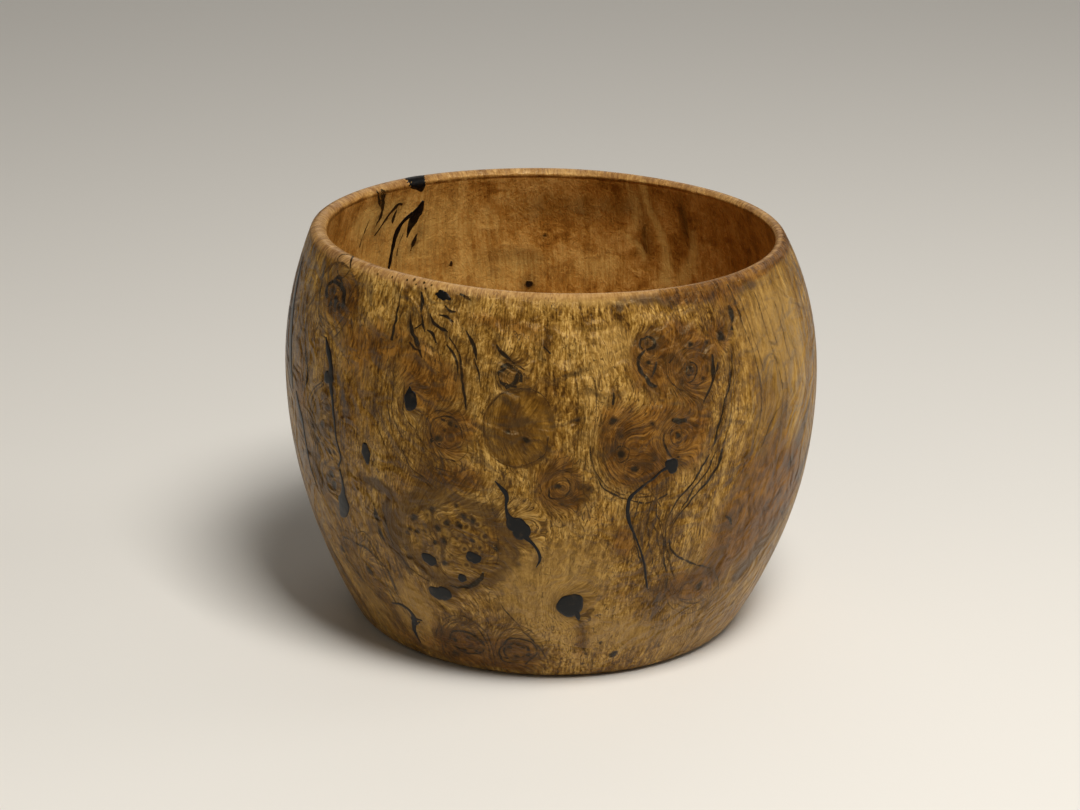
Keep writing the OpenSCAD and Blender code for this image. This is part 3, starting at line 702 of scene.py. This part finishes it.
# Bark specks of the outer skin: azimuth, height, radius, darkness
SPECKS = [
    (-8.3, 50, 0.5, 0.7), (-4.6, 48.6, 0.6, 0.85), (-7, 52.2, 0.4, 0.4), (-22.5, 47.4, 0.7, 0.7),
    (-20, 50.2, 0.6, 0.6), (-21.2, 49, 0.35, 0.6), (12.6, 52, 0.7, 0.75), (14, 49.4, 0.9, 0.6),
    (14.2, 46.3, 0.8, 0.9), (17, 43.4, 0.6, 0.9), (20.8, 51, 0.5, 0.6), (21, 44.8, 0.6, 0.7),
    (26.2, 48.5, 0.5, 0.9), (39.2, 63.3, 0.9, 0.9), (17.7, 5.4, 0.75, 0.9), (13.5, 8.6, 0.4, 0.6),
    (9.9, 3.6, 0.35, 0.7), (-4.6, 5.8, 0.55, 0.8), (-8, 4.2, 0.7, 0.6), (-7, 8.4, 0.5, 0.6),
    (36.6, 18, 0.9, 0.75), (34, 19.2, 0.5, 0.5), (1.6, 40.8, 0.6, 0.8), (2.4, 37.6, 0.5, 0.5),
    (5.5, 52.3, 0.5, 0.6), (8, 40.2, 0.8, 0.55), (8.4, 38.6, 0.6, 0.4), (30.2, 59.3, 0.4, 0.9),
    (28, 57, 0.6, 0.6), (31, 63, 0.5, 0.8), (35, 62.8, 0.5, 0.7), (33, 57.2, 0.5, 0.6),
    (20.8, 61, 0.4, 0.8), (20.9, 64, 0.5, 0.6), (-46, 17.3, 0.9, 0.75), (-56, 19, 0.8, 0.7),
    (-55.6, 16.8, 0.6, 0.5), (-29, 32, 0.7, 0.8), (-24.5, 34.3, 0.7, 0.6), (-26, 33, 0.5, 0.5),
    (-21.3, 32.2, 0.7, 0.75), (-19, 35.8, 0.5, 0.6), (-18.7, 32.2, 0.7, 0.8), (-17.5, 34, 0.6, 0.7),
    (-15.8, 33.4, 0.7, 0.7), (-23.5, 31, 0.7, 0.75), (-30.3, 29.5, 0.5, 0.6), (-31, 28.7, 0.5, 0.7),
    (-28.6, 29.4, 0.5, 0.7), (-26.8, 29.8, 0.4, 0.6), (-24.5, 28, 0.45, 0.8), (-22.3, 28.6, 0.6, 0.7),
    (-16, 29.6, 0.45, 0.8), (-14.5, 28.4, 0.35, 0.7), (-11, 28.8, 0.9, 0.7), (-32, 25.4, 0.6, 0.5),
    (-31.4, 23.8, 0.7, 0.6), (-22.6, 24.2, 0.6, 0.8), (-24.8, 23.4, 0.4, 0.6), (-28.4, 22.4, 0.5, 0.5),
    (-19.4, 29.6, 0.4, 0.5), (-52.3, 47.3, 0.9, 0.6), (-58.8, 42, 0.6, 0.7), (-54.5, 43.4, 0.7, 0.7),
    (-51.5, 43.4, 0.6, 0.6), (-57, 40, 0.5, 0.7), (-55, 39.4, 0.5, 0.5), (-52.5, 39, 0.6, 0.7),
    (-50.8, 39.3, 0.5, 0.6), (-57.5, 36.8, 0.6, 0.6), (-55, 36.2, 0.5, 0.6), (-53, 34.6, 0.7, 0.8),
    (-57, 33.6, 0.5, 0.6), (-55, 33, 0.6, 0.7), (-58, 31.6, 0.5, 0.5), (-52.5, 32.6, 0.8, 0.8),
    (-55.5, 31, 0.5, 0.6), (-55.6, 66.6, 0.8, 0.8), (-53.4, 65, 0.9, 0.9), (-52, 64.4, 0.6, 0.8),
    (-54.6, 63.4, 0.6, 0.7), (-24, 7.2, 0.5, 0.8), (-20, 8.4, 0.4, 0.8), (-22, 5, 0.45, 0.9),
    (-18.6, 5.4, 0.4, 0.7), (-9.4, 7.4, 0.5, 0.8), (-6, 7.6, 0.4, 0.8), (-7.6, 5.2, 0.5, 0.9),
    (-10.4, 4.6, 0.4, 0.7), (-25, 3.6, 0.9, 0.7), (-22.2, 57.2, 0.5, 0.5), (44, 42, 0.8, 0.4),
    (25.6, 44, 0.5, 0.9), (-33.4, 71.6, 0.15, 0.8), (-31.6, 71.8, 0.2, 0.8), (-30.8, 71.3, 0.13, 0.8),
    (-28.9, 71.7, 0.2, 0.8), (-28.2, 71, 0.15, 0.8), (-26.9, 71.6, 0.16, 0.7), (-37.6, 71.5, 0.15, 0.7),
    (-42, 71.4, 0.2, 0.7), (-54.8, 17.8, 0.4, 0.6),
]

# Bark specks of the inner skin, listed in the same way
INNER_SPECKS = [(-173.7, 47.8, 0.62, 1), (-153, 53, 0.3, 0.5), (-178, 58, 0.5, 0.4)]

# Bundles of thin growth lines: (azimuth, height) along the first, number, spacing to the left, darkness
GROWTH_LINES = [
    ([(44, 62), (42, 56), (40, 52), (38.2, 47), (36.4, 44)], 3, -1.1, 0.48),
    ([(18.2, 37.5), (17.2, 33.5), (18.4, 29), (20.2, 25), (22, 21), (23.4, 17.5)], 7, 0.95, 0.61),
    ([(-34.5, 37), (-36, 31), (-34.6, 25), (-31, 20.4)], 3, -0.9, 0.61),
    ([(-37, 60), (-37.6, 51), (-35, 45.4), (-30, 41.4), (-24, 39), (-17, 38.4)], 6, 1.15, 0.46),
    ([(26, 23), (29, 19.4), (33, 15.4), (38.4, 14), (43, 16), (45.4, 20)], 3, -1, 0.61),
    ([(66, 27), (59, 21), (52, 16), (46, 13)], 2, 2.8, 0.39),
    ([(47, 71), (48.6, 62), (50.4, 53), (48, 44)], 2, -1.3, 0.58),
    ([(54.6, 71), (56, 61), (58.4, 52), (57, 42)], 2, -1.7, 0.47),
    ([(62, 70), (63, 60), (65.4, 52)], 2, -2.4, 0.43),
    ([(-53, 50), (-57, 47.4), (-59.2, 43), (-57.6, 38.4), (-59.4, 34), (-57, 29.6)], 3, -0.8, 0.61),
    ([(11.6, 51), (10.6, 46), (12.8, 42), (17, 40.2), (21, 39.8), (24, 41.4)], 4, -0.9, 0.55),
    ([(-24, 63), (-22, 58), (-24, 52), (-26, 46), (-24, 41.4)], 3, -0.9, 0.42),
    ([(-13, 44), (-12, 38), (-10.6, 33), (-10.6, 27), (-13, 22)], 4, -0.8, 0.42),
    ([(8, 62), (9.4, 56), (8.6, 50), (6.6, 44), (7.4, 37), (10, 31)], 4, -1.0, 0.36),
    ([(-48, 24), (-44.4, 25.6), (-41.6, 24), (-39.8, 20), (-38, 14), (-35.6, 9)], 3, -0.9, 0.55),
    ([(-30, 3), (-29, 8), (-25, 12), (-20, 13.4), (-15.6, 11), (-13.8, 6), (-14, 2)], 4, -0.8, 0.55),
    ([(-12.4, 2), (-12.8, 7), (-10.4, 11), (-6.6, 12), (-3, 9.6), (-1.6, 5)], 3, 0.8, 0.48),
    ([(-45, 70), (-47, 65), (-50, 61), (-54, 58.6), (-59, 59.6)], 3, -1, 0.48),
]


def figure_lines():
    """Every check, ring and growth line as (place, path, darkness)."""
    found = []
    for k, (points, dark) in enumerate(CHECKS + INNER_CHECKS):
        side = outside if k < len(CHECKS) else inside
        place, local = from_place([p[:2] for p in points], np.array([1.25 * p[2] for p in points]), side)
        found.append((place, ragged(local, 0.14, 100 + k), dark))
    for k, (azimuth, z, w, h, line_w, dark) in enumerate(RINGS):
        t = np.radians(np.linspace(20, 350, 12) + 75 * k)
        generator = np.random.default_rng(200 + k)
        ripple = 1 + 0.1 * np.sin(2 * t + k) + 0.05 * generator.normal(size=12)
        local = [(w * q * np.cos(a), h * q * np.sin(a), 1.5 * line_w) for a, q in zip(t, ripple)]
        found.append(((azimuth, float(outside(z))), ragged(local, 0.1, 230 + k), dark))
    for k, (points, count, spacing, dark) in enumerate(GROWTH_LINES):
        place, local = from_place(points, 0.36)
        first = smooth_path(local, 2.0)
        for j in range(count):
            generator = np.random.default_rng(300 + 20 * k + j)
            drift = spacing * j * (1 + 0.12 * wander(len(first), 6, generator, 2.0))
            shifted = first.copy()
            shifted[:, :2] += sideways(first) * drift[:, None]
            trim = generator.integers(0, 3, 2)
            shifted = shifted[trim[0]:len(shifted) - trim[1]]
            found.append((place, ragged(shifted, 0.12, 301 + 20 * k + j), dark * generator.uniform(0.5, 1)))
    return found


def fill_lines():
    """The resin fills as lines too, for the browning beside them."""
    found = []
    for name, azimuth, z, knots, veins in FILLS:
        place = (azimuth, float(outside(z)))
        found += [(place, smooth_path(vein, 0.35), 0.8) for vein in veins]
        found += [(place, np.array([[x, y, 2 * r], [x, y, 2 * r]]), 0.75) for x, y, r in knots]
    return found


LINES = figure_lines()
FILL_LINES = fill_lines()


def grain_checks():
    """All hairline checks, rings, growth lines and specks, as thin wooden insets with a sooty middle."""
    parts = Parts()
    for k, (place, path, dark) in enumerate(LINES):
        strip(parts, place, path, 0.0, CHECK_DEPTH, dark, 500 + k, (0, 0.55, 1))
    for k, (azimuth, z, radius, dark) in enumerate(SPECKS):
        button(parts, (azimuth, outside(z)), 0, 0, SPECK_SPREAD * radius, 0.0, CHECK_DEPTH,
               SPECK_DARK * dark, 0.2, 300 + k, 20)
    for k, (azimuth, z, radius, dark) in enumerate(INNER_SPECKS):
        button(parts, (azimuth, inside(z)), 0, 0, SPECK_SPREAD * radius, 0.0, CHECK_DEPTH,
               dark, 0.16, 400 + k, 20)
    return parts.finish("grain_checks", True)


# ---------------------------------------------------------------- materials

def new_material(name):
    material = bpy.data.materials.new(name)
    material.use_nodes = True
    material.node_tree.nodes.clear()
    return material


def add(tree, kind, inputs=None, **settings):
    """Adds a node, sets its settings, and sets or links its inputs by name or number."""
    made = tree.nodes.new(kind)
    for key, value in settings.items():
        setattr(made, key, value)
    for key, value in (inputs or {}).items():
        if isinstance(value, bpy.types.NodeSocket):
            tree.links.new(value, made.inputs[key])
        else:
            made.inputs[key].default_value = value
    return made


def maths(tree, operation, a, b):
    return add(tree, "ShaderNodeMath", {0: a, 1: b}, operation=operation).outputs[0]


def times(tree, a, b):
    return maths(tree, "MULTIPLY", a, b)


def ease(tree, value, low, high, start=0.0, end=1.0):
    """Smooth step of value from low to high, put out as start to end."""
    return add(tree, "ShaderNodeMapRange", {0: value, 1: low, 2: high, 3: start, 4: end},
               interpolation_type="SMOOTHSTEP").outputs[0]


def mix(tree, share, a, b):
    """Colour a with a share of colour b over it."""
    return add(tree, "ShaderNodeMix", {0: share, 6: a, 7: b}, data_type="RGBA").outputs[2]


def rgb(r, g, b):
    return (r, g, b, 1.0)


def noise(tree, vector, scale, detail=2.0, roughness=0.5, distortion=0.0):
    inputs = {"Vector": vector, "Scale": scale, "Detail": detail, "Roughness": roughness,
              "Distortion": distortion}
    return add(tree, "ShaderNodeTexNoise", inputs).outputs["Fac"]


def scaled(tree, vector, x, y, z):
    return add(tree, "ShaderNodeVectorMath", {0: vector, 1: (x, y, z)}, operation="MULTIPLY").outputs[0]


def ramp(tree, value, stops):
    made = add(tree, "ShaderNodeValToRGB", {0: value})
    while len(made.color_ramp.elements) < len(stops):
        made.color_ramp.elements.new(0.5)
    for element, (position, colour) in zip(made.color_ramp.elements, stops):
        element.position, element.color = position, rgb(*colour)
    return made.outputs[0]


def attribute(tree, name, output="Vector"):
    return add(tree, "ShaderNodeAttribute", attribute_name=name).outputs[output]


def parts_of(tree, vector):
    return add(tree, "ShaderNodeSeparateXYZ", {0: vector}).outputs


def weighed(tree, start, *terms):
    """start + the sum of share (value - 0.5) over the terms."""
    total = start
    for value, share in terms:
        total = add(tree, "ShaderNodeMath", {0: maths(tree, "SUBTRACT", value, 0.5), 1: share, 2: total},
                    operation="MULTIPLY_ADD").outputs[0]
    return total


# Colours of the wood: ramps of (place, colour), and pairs from dark to pale
HONEY = [(0.1, (0.045, 0.017, 0.002)), (0.34, (0.145, 0.065, 0.008)),
         (0.56, (0.28, 0.145, 0.025)), (0.88, (0.55, 0.33, 0.09))]
# Brown for stained patches and for painted shade on the lower right flank
STAINED_AND_SHADED = [(0.15, (0.03, 0.01, 0.0015)), (0.45, (0.11, 0.039, 0.004)), (0.85, (0.27, 0.118, 0.018))]
AMBER = [(0.1, (0.17, 0.058, 0.006)), (0.45, (0.4, 0.178, 0.03)), (0.85, (0.66, 0.37, 0.1))]
PIP = [(0.1, (0.015, 0.007, 0.002)), (0.24, (0.07, 0.03, 0.005)), (0.36, (0.28, 0.155, 0.032)),
       (0.48, (0.2, 0.105, 0.02)), (0.62, (0.065, 0.028, 0.005))]
PALE_WOOD_AND_HIGHLIGHT = (rgb(0.24, 0.125, 0.026), rgb(0.5, 0.3, 0.085))
# Purple-brown of the heartwood, darkened as painted shade where the floor lights the lower right flank
PURPLE_HEART_AND_SHADE = (rgb(0.03, 0.015, 0.008), rgb(0.13, 0.074, 0.036))
DISC_WOOD = (rgb(0.055, 0.021, 0.002), rgb(0.21, 0.096, 0.01))
RIM_WOOD = (rgb(0.045, 0.02, 0.006), rgb(0.14, 0.07, 0.018))
DIM_AMBER = (rgb(0.06, 0.02, 0.002), rgb(0.2, 0.085, 0.012))
GOLDEN = (rgb(0.48, 0.27, 0.06), rgb(0.8, 0.54, 0.17))
# Painted highlight of the lip's crest, from dark to pale
LIP_HIGHLIGHT = (rgb(0.27, 0.115, 0.034), rgb(0.62, 0.38, 0.18))
DISC_LINE = rgb(0.055, 0.022, 0.005)
RING_LINE = rgb(0.05, 0.022, 0.005)
CREASE_LINE = rgb(0.05, 0.021, 0.004)
FLECK = rgb(0.06, 0.028, 0.008)
SCORCH = rgb(0.07, 0.032, 0.008)
SOOT_EDGE = rgb(0.06, 0.025, 0.005)
SOOT = rgb(0.009, 0.006, 0.004)


def burl_wood():
    """Oiled burl: fibres, curl, growth bands and ring lines along the grain, clouded and stained, with
    highlights painted along the lip and shade painted on the lower right flank.
    """
    material = new_material("oiled_burl")
    tree = material.node_tree
    grain = attribute(tree, "grain")
    stain_and_light = parts_of(tree, attribute(tree, "stain_and_light"))
    pip_patch, near, browning = parts_of(tree, attribute(tree, "figure"))
    disc, rim, hollow = parts_of(tree, attribute(tree, "disc"))
    soot = attribute(tree, "soot", "Fac")
    place = add(tree, "ShaderNodeTexCoord").outputs["Object"]

    fibre = noise(tree, scaled(tree, grain, 1.7, 1.7, 0.15), 1.0, 6.0, 0.62)
    hair = noise(tree, scaled(tree, grain, 3.0, 3.0, 0.55), 1.0, 3.0, 0.65, 0.4)
    curl = noise(tree, scaled(tree, grain, 1.0, 1.0, 0.75), 1.0, 3.0, 0.6, 1.8)
    bands = noise(tree, scaled(tree, grain, 0.34, 0.34, 0.035), 1.0, 3.0, 0.5, 0.3)
    cloud = noise(tree, place, 85.0, 4.0, 0.6, 0.7)
    mottle = noise(tree, place, 330.0, 4.0, 0.62, 0.6)
    fleck = noise(tree, place, 1100.0, 3.0, 0.65)
    outer = maths(tree, "SUBTRACT", 1.0, hollow)
    calm = attribute(tree, "calm", "Fac")
    lively = maths(tree, "SUBTRACT", 1.0, times(tree, calm, 0.8))
    reed = noise(tree, scaled(tree, grain, 1.1, 1.1, 0.025), 1.0, 5.0, 0.6)
    crease = noise(tree, scaled(tree, grain, 0.6, 0.6, 0.17), 1.0, 2.5, 0.55, 0.6)

    rough = weighed(tree, 0.0, (cloud, 0.6), (mottle, 0.8), (fibre, 0.5), (curl, 1.1), (hair, 1.5))
    tone = weighed(tree, 0.5, (bands, 0.9), (cloud, 0.3))
    tone = maths(tree, "ADD", tone, times(tree, rough, lively))
    tone = maths(tree, "ADD", tone, times(tree, weighed(tree, 0.0, (reed, 1.2)), calm))
    colour = ramp(tree, tone, HONEY)
    # Pale patches, painted highlights along the lip among them
    pale = ease(tree, weighed(tree, stain_and_light[1], (mottle, 0.8), (cloud, 0.6)), 0.15, 0.9, 0.0, 0.82)
    colour = mix(tree, pale, colour,
                 mix(tree, weighed(tree, 0.5, (fibre, 0.9), (curl, 1.2), (hair, 0.9)), *PALE_WOOD_AND_HIGHLIGHT))
    # Heartwood streaks, which also paint shade on the lower right flank
    heart_and_shade = ease(tree, weighed(tree, stain_and_light[2], (fibre, 0.8), (reed, 0.8), (cloud, 0.8)), 0.2, 0.7, 0.0, 0.9)
    colour = mix(tree, heart_and_shade, colour, mix(tree, weighed(tree, 0.5, (fibre, 2.4)), *PURPLE_HEART_AND_SHADE))
    # Brown patches, painted shade on the lower right flank among them
    brown = weighed(tree, stain_and_light[0], (mottle, 1.0), (fibre, 0.5), (cloud, 0.5))
    brown = ease(tree, brown, 0.15, 0.7, 0.0, 0.92)
    brown_tone = weighed(tree, 0.5, (mottle, 1.8), (fibre, 0.8), (hair, 1.4), (cloud, 0.8))
    colour = mix(tree, brown, colour, ramp(tree, brown_tone, STAINED_AND_SHADED))

    # The smooth disc: even brown wood within a dark outline
    disc_edge = weighed(tree, disc, (cloud, 0.12))
    in_disc = ease(tree, disc_edge, 0.94, 1.0, 1.0, 0.0)
    colour = mix(tree, times(tree, in_disc, 0.8), colour,
                 mix(tree, weighed(tree, 0.5, (mottle, 2.2), (hair, 1.8)), *DISC_WOOD))
    line = times(tree, in_disc, ease(tree, disc_edge, 0.86, 0.97, 0.0, 1.0))
    core = ease(tree, weighed(tree, disc, (mottle, 1.2)), 0.15, 0.75, 0.7, 0.0)
    colour = mix(tree, maths(tree, "MAXIMUM", times(tree, line, 0.55), core), colour, DISC_LINE)

    # The big burl: a dark rim round a honey middle
    rim_edge = weighed(tree, rim, (mottle, 0.5), (cloud, 0.5))
    rim_dark = times(tree, ease(tree, rim_edge, 0.7, 0.86, 0.0, 1.0),
                     ease(tree, rim_edge, 0.98, 1.2, 1.0, 0.0))
    colour = mix(tree, times(tree, rim_dark, 0.8), colour,
                 mix(tree, weighed(tree, 0.5, (fibre, 2.0), (mottle, 1.0)), *RIM_WOOD))

    # Inside: amber, with softer streaks
    inner_tone = weighed(tree, 0.5, (bands, 0.8), (cloud, 1.3), (mottle, 1.0), (fibre, 0.3), (curl, 0.9))
    amber = ramp(tree, inner_tone, AMBER)
    # Darker amber inside, with painted shade on the inner right wall among it
    dim = ease(tree, weighed(tree, stain_and_light[0], (mottle, 0.7), (cloud, 0.7)), 0.1, 0.9, 0.0, 0.8)
    amber = mix(tree, dim, amber, mix(tree, fibre, *DIM_AMBER))
    gold = ease(tree, weighed(tree, stain_and_light[1], (fibre, 0.7), (cloud, 0.7)), 0.1, 0.9, 0.0, 0.75)
    amber = mix(tree, gold, amber, mix(tree, fibre, *GOLDEN))
    colour = mix(tree, hollow, colour, amber)

    # Thin growth lines, crowded round the eyes
    contour = maths(tree, "PINGPONG", times(tree, bands, 13.0), 0.5)
    ring_lines = ease(tree, contour, 0.0, 0.14, 1.0, 0.0)
    share = maths(tree, "ADD", times(tree, near, 0.5), 0.1)
    share = times(tree, ease(tree, mottle, 0.4, 0.6, 0.3, 1.0), share)
    share = times(tree, share, outer)
    colour = mix(tree, times(tree, ring_lines, share), colour, RING_LINE)

    # Creases: thin dark lines in patches, along the grain
    fold = maths(tree, "PINGPONG", times(tree, crease, 8.0), 0.5)
    crease_line = ease(tree, fold, 0.0, 0.13, 1.0, 0.0)
    crowd = times(tree, ease(tree, weighed(tree, cloud, (mottle, 0.5)), 0.4, 0.6, 0.15, 0.9), outer)
    crowd = times(tree, crowd, lively)
    colour = mix(tree, times(tree, crease_line, crowd), colour, CREASE_LINE)

    # Pips: round cells with a dark heart, a pale ring and a dim border
    nudge = add(tree, "ShaderNodeTexNoise", {"Vector": place, "Scale": 400.0, "Detail": 2.0})
    nudge = nudge.outputs["Color"]
    cells = add(tree, "ShaderNodeVectorMath", {0: nudge, 1: (0.0016,) * 3, 2: place},
                operation="MULTIPLY_ADD").outputs[0]
    cell = add(tree, "ShaderNodeTexVoronoi", {"Vector": cells, "Scale": 600.0, "Randomness": 0.9})
    heart_dark = parts_of(tree, cell.outputs["Color"])[0]
    pip_colour = ramp(tree, cell.outputs["Distance"], PIP)
    pip_colour = mix(tree, ease(tree, heart_dark, 0.25, 0.85, 0.0, 0.8), pip_colour, colour)
    pips = ease(tree, weighed(tree, pip_patch, (cloud, 0.6)), 0.3, 0.7, 0.0, 0.85)
    colour = mix(tree, pips, colour, pip_colour)

    # Flecks, browning beside cracks, and soot
    colour = mix(tree, ease(tree, fleck, 0.6, 0.74, 0.0, 0.4), colour, FLECK)
    burnt = times(tree, browning, ease(tree, mottle, 0.3, 0.65, 0.95, 0.35))
    colour = mix(tree, times(tree, burnt, 0.7), colour, SCORCH)
    grit = times(tree, soot, ease(tree, fleck, 0.3, 0.7, 1.3, 0.75))
    colour = mix(tree, ease(tree, grit, 0.0, 0.5, 0.0, 0.85), colour, SOOT_EDGE)
    colour = mix(tree, ease(tree, grit, 0.25, 0.62, 0.0, 0.97), colour, SOOT)

    # The crest of the lip: smoother and glossier, and painted paler along it as a highlight
    crest_gloss_and_highlight = attribute(tree, "crest_gloss_and_highlight", "Fac")
    painted_lip_highlight = times(tree, crest_gloss_and_highlight, maths(tree, "SUBTRACT", 0.55, times(tree, brown, 0.5)))
    painted_lip_highlight = times(tree, painted_lip_highlight, ease(tree, soot, 0.0, 0.3, 1.0, 0.0))
    colour = mix(tree, painted_lip_highlight, colour,
                 mix(tree, weighed(tree, 0.5, (curl, 1.6), (cloud, 1.2)), *LIP_HIGHLIGHT))
    roughness = maths(tree, "SUBTRACT", weighed(tree, 0.36, (hair, 0.3), (mottle, 0.2)),
                      times(tree, crest_gloss_and_highlight, 0.1))

    # Relief: fibres and small scrapes, broad dimples left by the gouge outside, and sunk checks
    dimple = noise(tree, place, 180.0, 1.5, 0.5, 1.4)
    height = weighed(tree, 0.0, (hair, 0.8), (fibre, 0.4), (curl, 0.8), (mottle, 2.4))
    height = maths(tree, "ADD", height, times(tree, dimple, times(tree, outer, 16.0)))
    height = maths(tree, "SUBTRACT", height, times(tree, crease_line, times(tree, crowd, 0.3)))
    height = maths(tree, "SUBTRACT", height, times(tree, grit, 0.6))
    height = times(tree, height, ease(tree, crest_gloss_and_highlight, 0.0, 1.0, 1.0, 0.25))
    bump = add(tree, "ShaderNodeBump", {"Strength": 0.85, "Distance": 0.00015, "Height": height})
    shader = add(tree, "ShaderNodeBsdfPrincipled", {"Base Color": colour, "Roughness": roughness,
                                                    "Normal": bump.outputs[0], "IOR": 1.45,
                                                    "Specular IOR Level": 0.32,
                                                    "Specular Tint": rgb(1.0, 0.77, 0.42)})
    add(tree, "ShaderNodeOutputMaterial", {0: shader.outputs[0]})
    return material


def black_resin():
    """Cast black resin: near-black with brown bark dust in it, polished, with fine sanding marks."""
    material = new_material("black_resin")
    tree = material.node_tree
    place = add(tree, "ShaderNodeTexCoord").outputs["Object"]
    dust = noise(tree, place, 700.0, 4.0, 0.6)
    scuffs = noise(tree, scaled(tree, place, 1.0, 1.0, 0.25), 5000.0, 2.0)
    colour = mix(tree, ease(tree, dust, 0.52, 0.7, 0.0, 0.8), rgb(0.002, 0.002, 0.0022),
                 rgb(0.03, 0.018, 0.008))
    roughness = maths(tree, "ADD", 0.26, times(tree, scuffs, 0.16))
    bump = add(tree, "ShaderNodeBump", {"Strength": 0.2, "Distance": 0.00008, "Height": dust})
    shader = add(tree, "ShaderNodeBsdfPrincipled", {"Base Color": colour, "Roughness": roughness,
                                                    "Normal": bump.outputs[0], "IOR": 1.5,
                                                    "Specular IOR Level": 0.22})
    add(tree, "ShaderNodeOutputMaterial", {0: shader.outputs[0]})
    return material


def studio_floor():
    material = new_material("pale_floor")
    tree = material.node_tree
    shader = add(tree, "ShaderNodeBsdfPrincipled", {"Base Color": rgb(0.78, 0.76, 0.72), "Roughness": 0.7})
    add(tree, "ShaderNodeOutputMaterial", {0: shader.outputs[0]})
    return material


# ---------------------------------------------------------------- the scene

def camera():
    """Camera raised by an angle, at a distance called reach from the point it is aimed at, and rolled."""
    data = bpy.data.cameras.new("camera")
    data.sensor_width = 36.0
    data.lens = 86.7
    data.clip_start = 0.01
    data.shift_x = -0.0104
    data.shift_y = 0.0092
    eye = bpy.data.objects.new("camera", data)
    elevation = np.radians(19.59)
    roll = np.radians(1.37)
    reach = 0.4747
    aim = Vector((0, 0, 0.0362))
    eye.location = aim + Vector((0, -reach * np.cos(elevation), reach * np.sin(elevation)))
    look = (aim - eye.location).to_track_quat("-Z", "Y").to_matrix().to_4x4()
    eye.rotation_euler = (look @ Matrix.Rotation(roll, 4, "Z")).to_euler()
    bpy.context.collection.objects.link(eye)
    bpy.context.scene.camera = eye


def area_light(name, place, target, size, power, colour):
    data = bpy.data.lights.new(name, "AREA")
    data.shape = "RECTANGLE"
    data.size, data.size_y = size
    data.energy = power
    data.color = colour
    lamp = bpy.data.objects.new(name, data)
    lamp.location = place
    lamp.rotation_euler = (Vector(target) - Vector(place)).to_track_quat("-Z", "Y").to_euler()
    bpy.context.collection.objects.link(lamp)


def lights():
    middle = (0, 0, 0.04)
    area_light("lamp", (0.16, -0.3, 0.66), middle, (0.26, 0.26), 5.4, (1, 0.97, 0.92))
    area_light("left_fill", (-0.5, -0.7, 0.5), middle, (0.6, 0.5), 0.33, (1, 0.86, 0.64))
    area_light("right_strip", (0.7, 0.1, 0.3), middle, (0.25, 0.5), 0.8, (1, 0.97, 0.93))
    area_light("far_fill", (0.1, 0.95, 0.7), (0, 0.5, 0), (1.2, 0.6), 1.6, (1, 0.97, 0.93))
    world = bpy.data.worlds.new("soft_room")
    world.use_nodes = True
    world.node_tree.nodes["Background"].inputs[0].default_value = rgb(1.0, 0.94, 0.84)
    world.node_tree.nodes["Background"].inputs[1].default_value = 0.09
    bpy.context.scene.world = world
    bpy.context.scene.view_settings.view_transform = "Standard"


def floor():
    mesh = bpy.data.meshes.new("floor")
    half = 3.0
    corners = [(-half, -half, 0), (half, -half, 0), (half, half, 0), (-half, half, 0)]
    mesh.from_pydata(corners, [], [(0, 1, 2, 3)])
    plane = bpy.data.objects.new("floor", mesh)
    bpy.context.collection.objects.link(plane)
    mesh.materials.append(studio_floor())


def put_on(piece, material, slot, *nodes):
    """Gives a piece its material, lets it ride on the cup and hides the CAD nodes it stands for."""
    piece.data.materials.append(material)
    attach(piece, "root")
    if nodes:
        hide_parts(*nodes)


camera()
lights()
floor()

wood = burl_wood()
resin = black_resin()
put_on(cup_wood(), wood, "burl_wood", "cup_body")
put_on(grain_checks(), wood, "burl_wood")
for fill_name, fill_azimuth, fill_height, fill_knots, fill_veins in FILLS:
    fill = resin_piece(fill_name, (fill_azimuth, outside(fill_height)), fill_knots, fill_veins)
    put_on(fill, resin, "black_resin", fill_name + "_fill")

# The two fills of the lip: a chip at the front, and bark that goes over the top and down the inside
chip = resin_piece("lip_chip", (-23.6, LIP_TOP), [(0, -2.4, 0.8), (-0.5, -2.2, 0.7)],
                   [[(-1.4, -2.3, 0.3), (0, -2.3, 1.3), (1.3, -2.9, 0.4)]])
put_on(chip, resin, "black_resin", "lip_chip_fill")
bark = resin_piece("lip_bark", (-141, LIP_TOP), [(-0.6, 8, 1.1)],
                   [[(-0.4, -2.8, 0.5), (0.2, -1.2, 3.6), (0.3, 0.6, 4.8), (-0.4, 2.2, 2.6),
                     (-1, 3.4, 0.4)],
                    [(-1.6, 5.6, 0.5), (-1, 7.4, 2), (0, 9.2, 2.4), (0.8, 11, 1.2), (1.2, 13, 0.4)],
                    [(0.4, 8, 1), (2.6, 9.6, 0.8), (3.8, 12, 1.2), (4.4, 15, 0.8), (5, 18.6, 0.6),
                     (5.2, 20, 0.2)]])
put_on(bark, resin, "black_resin", "lip_bark_fill")
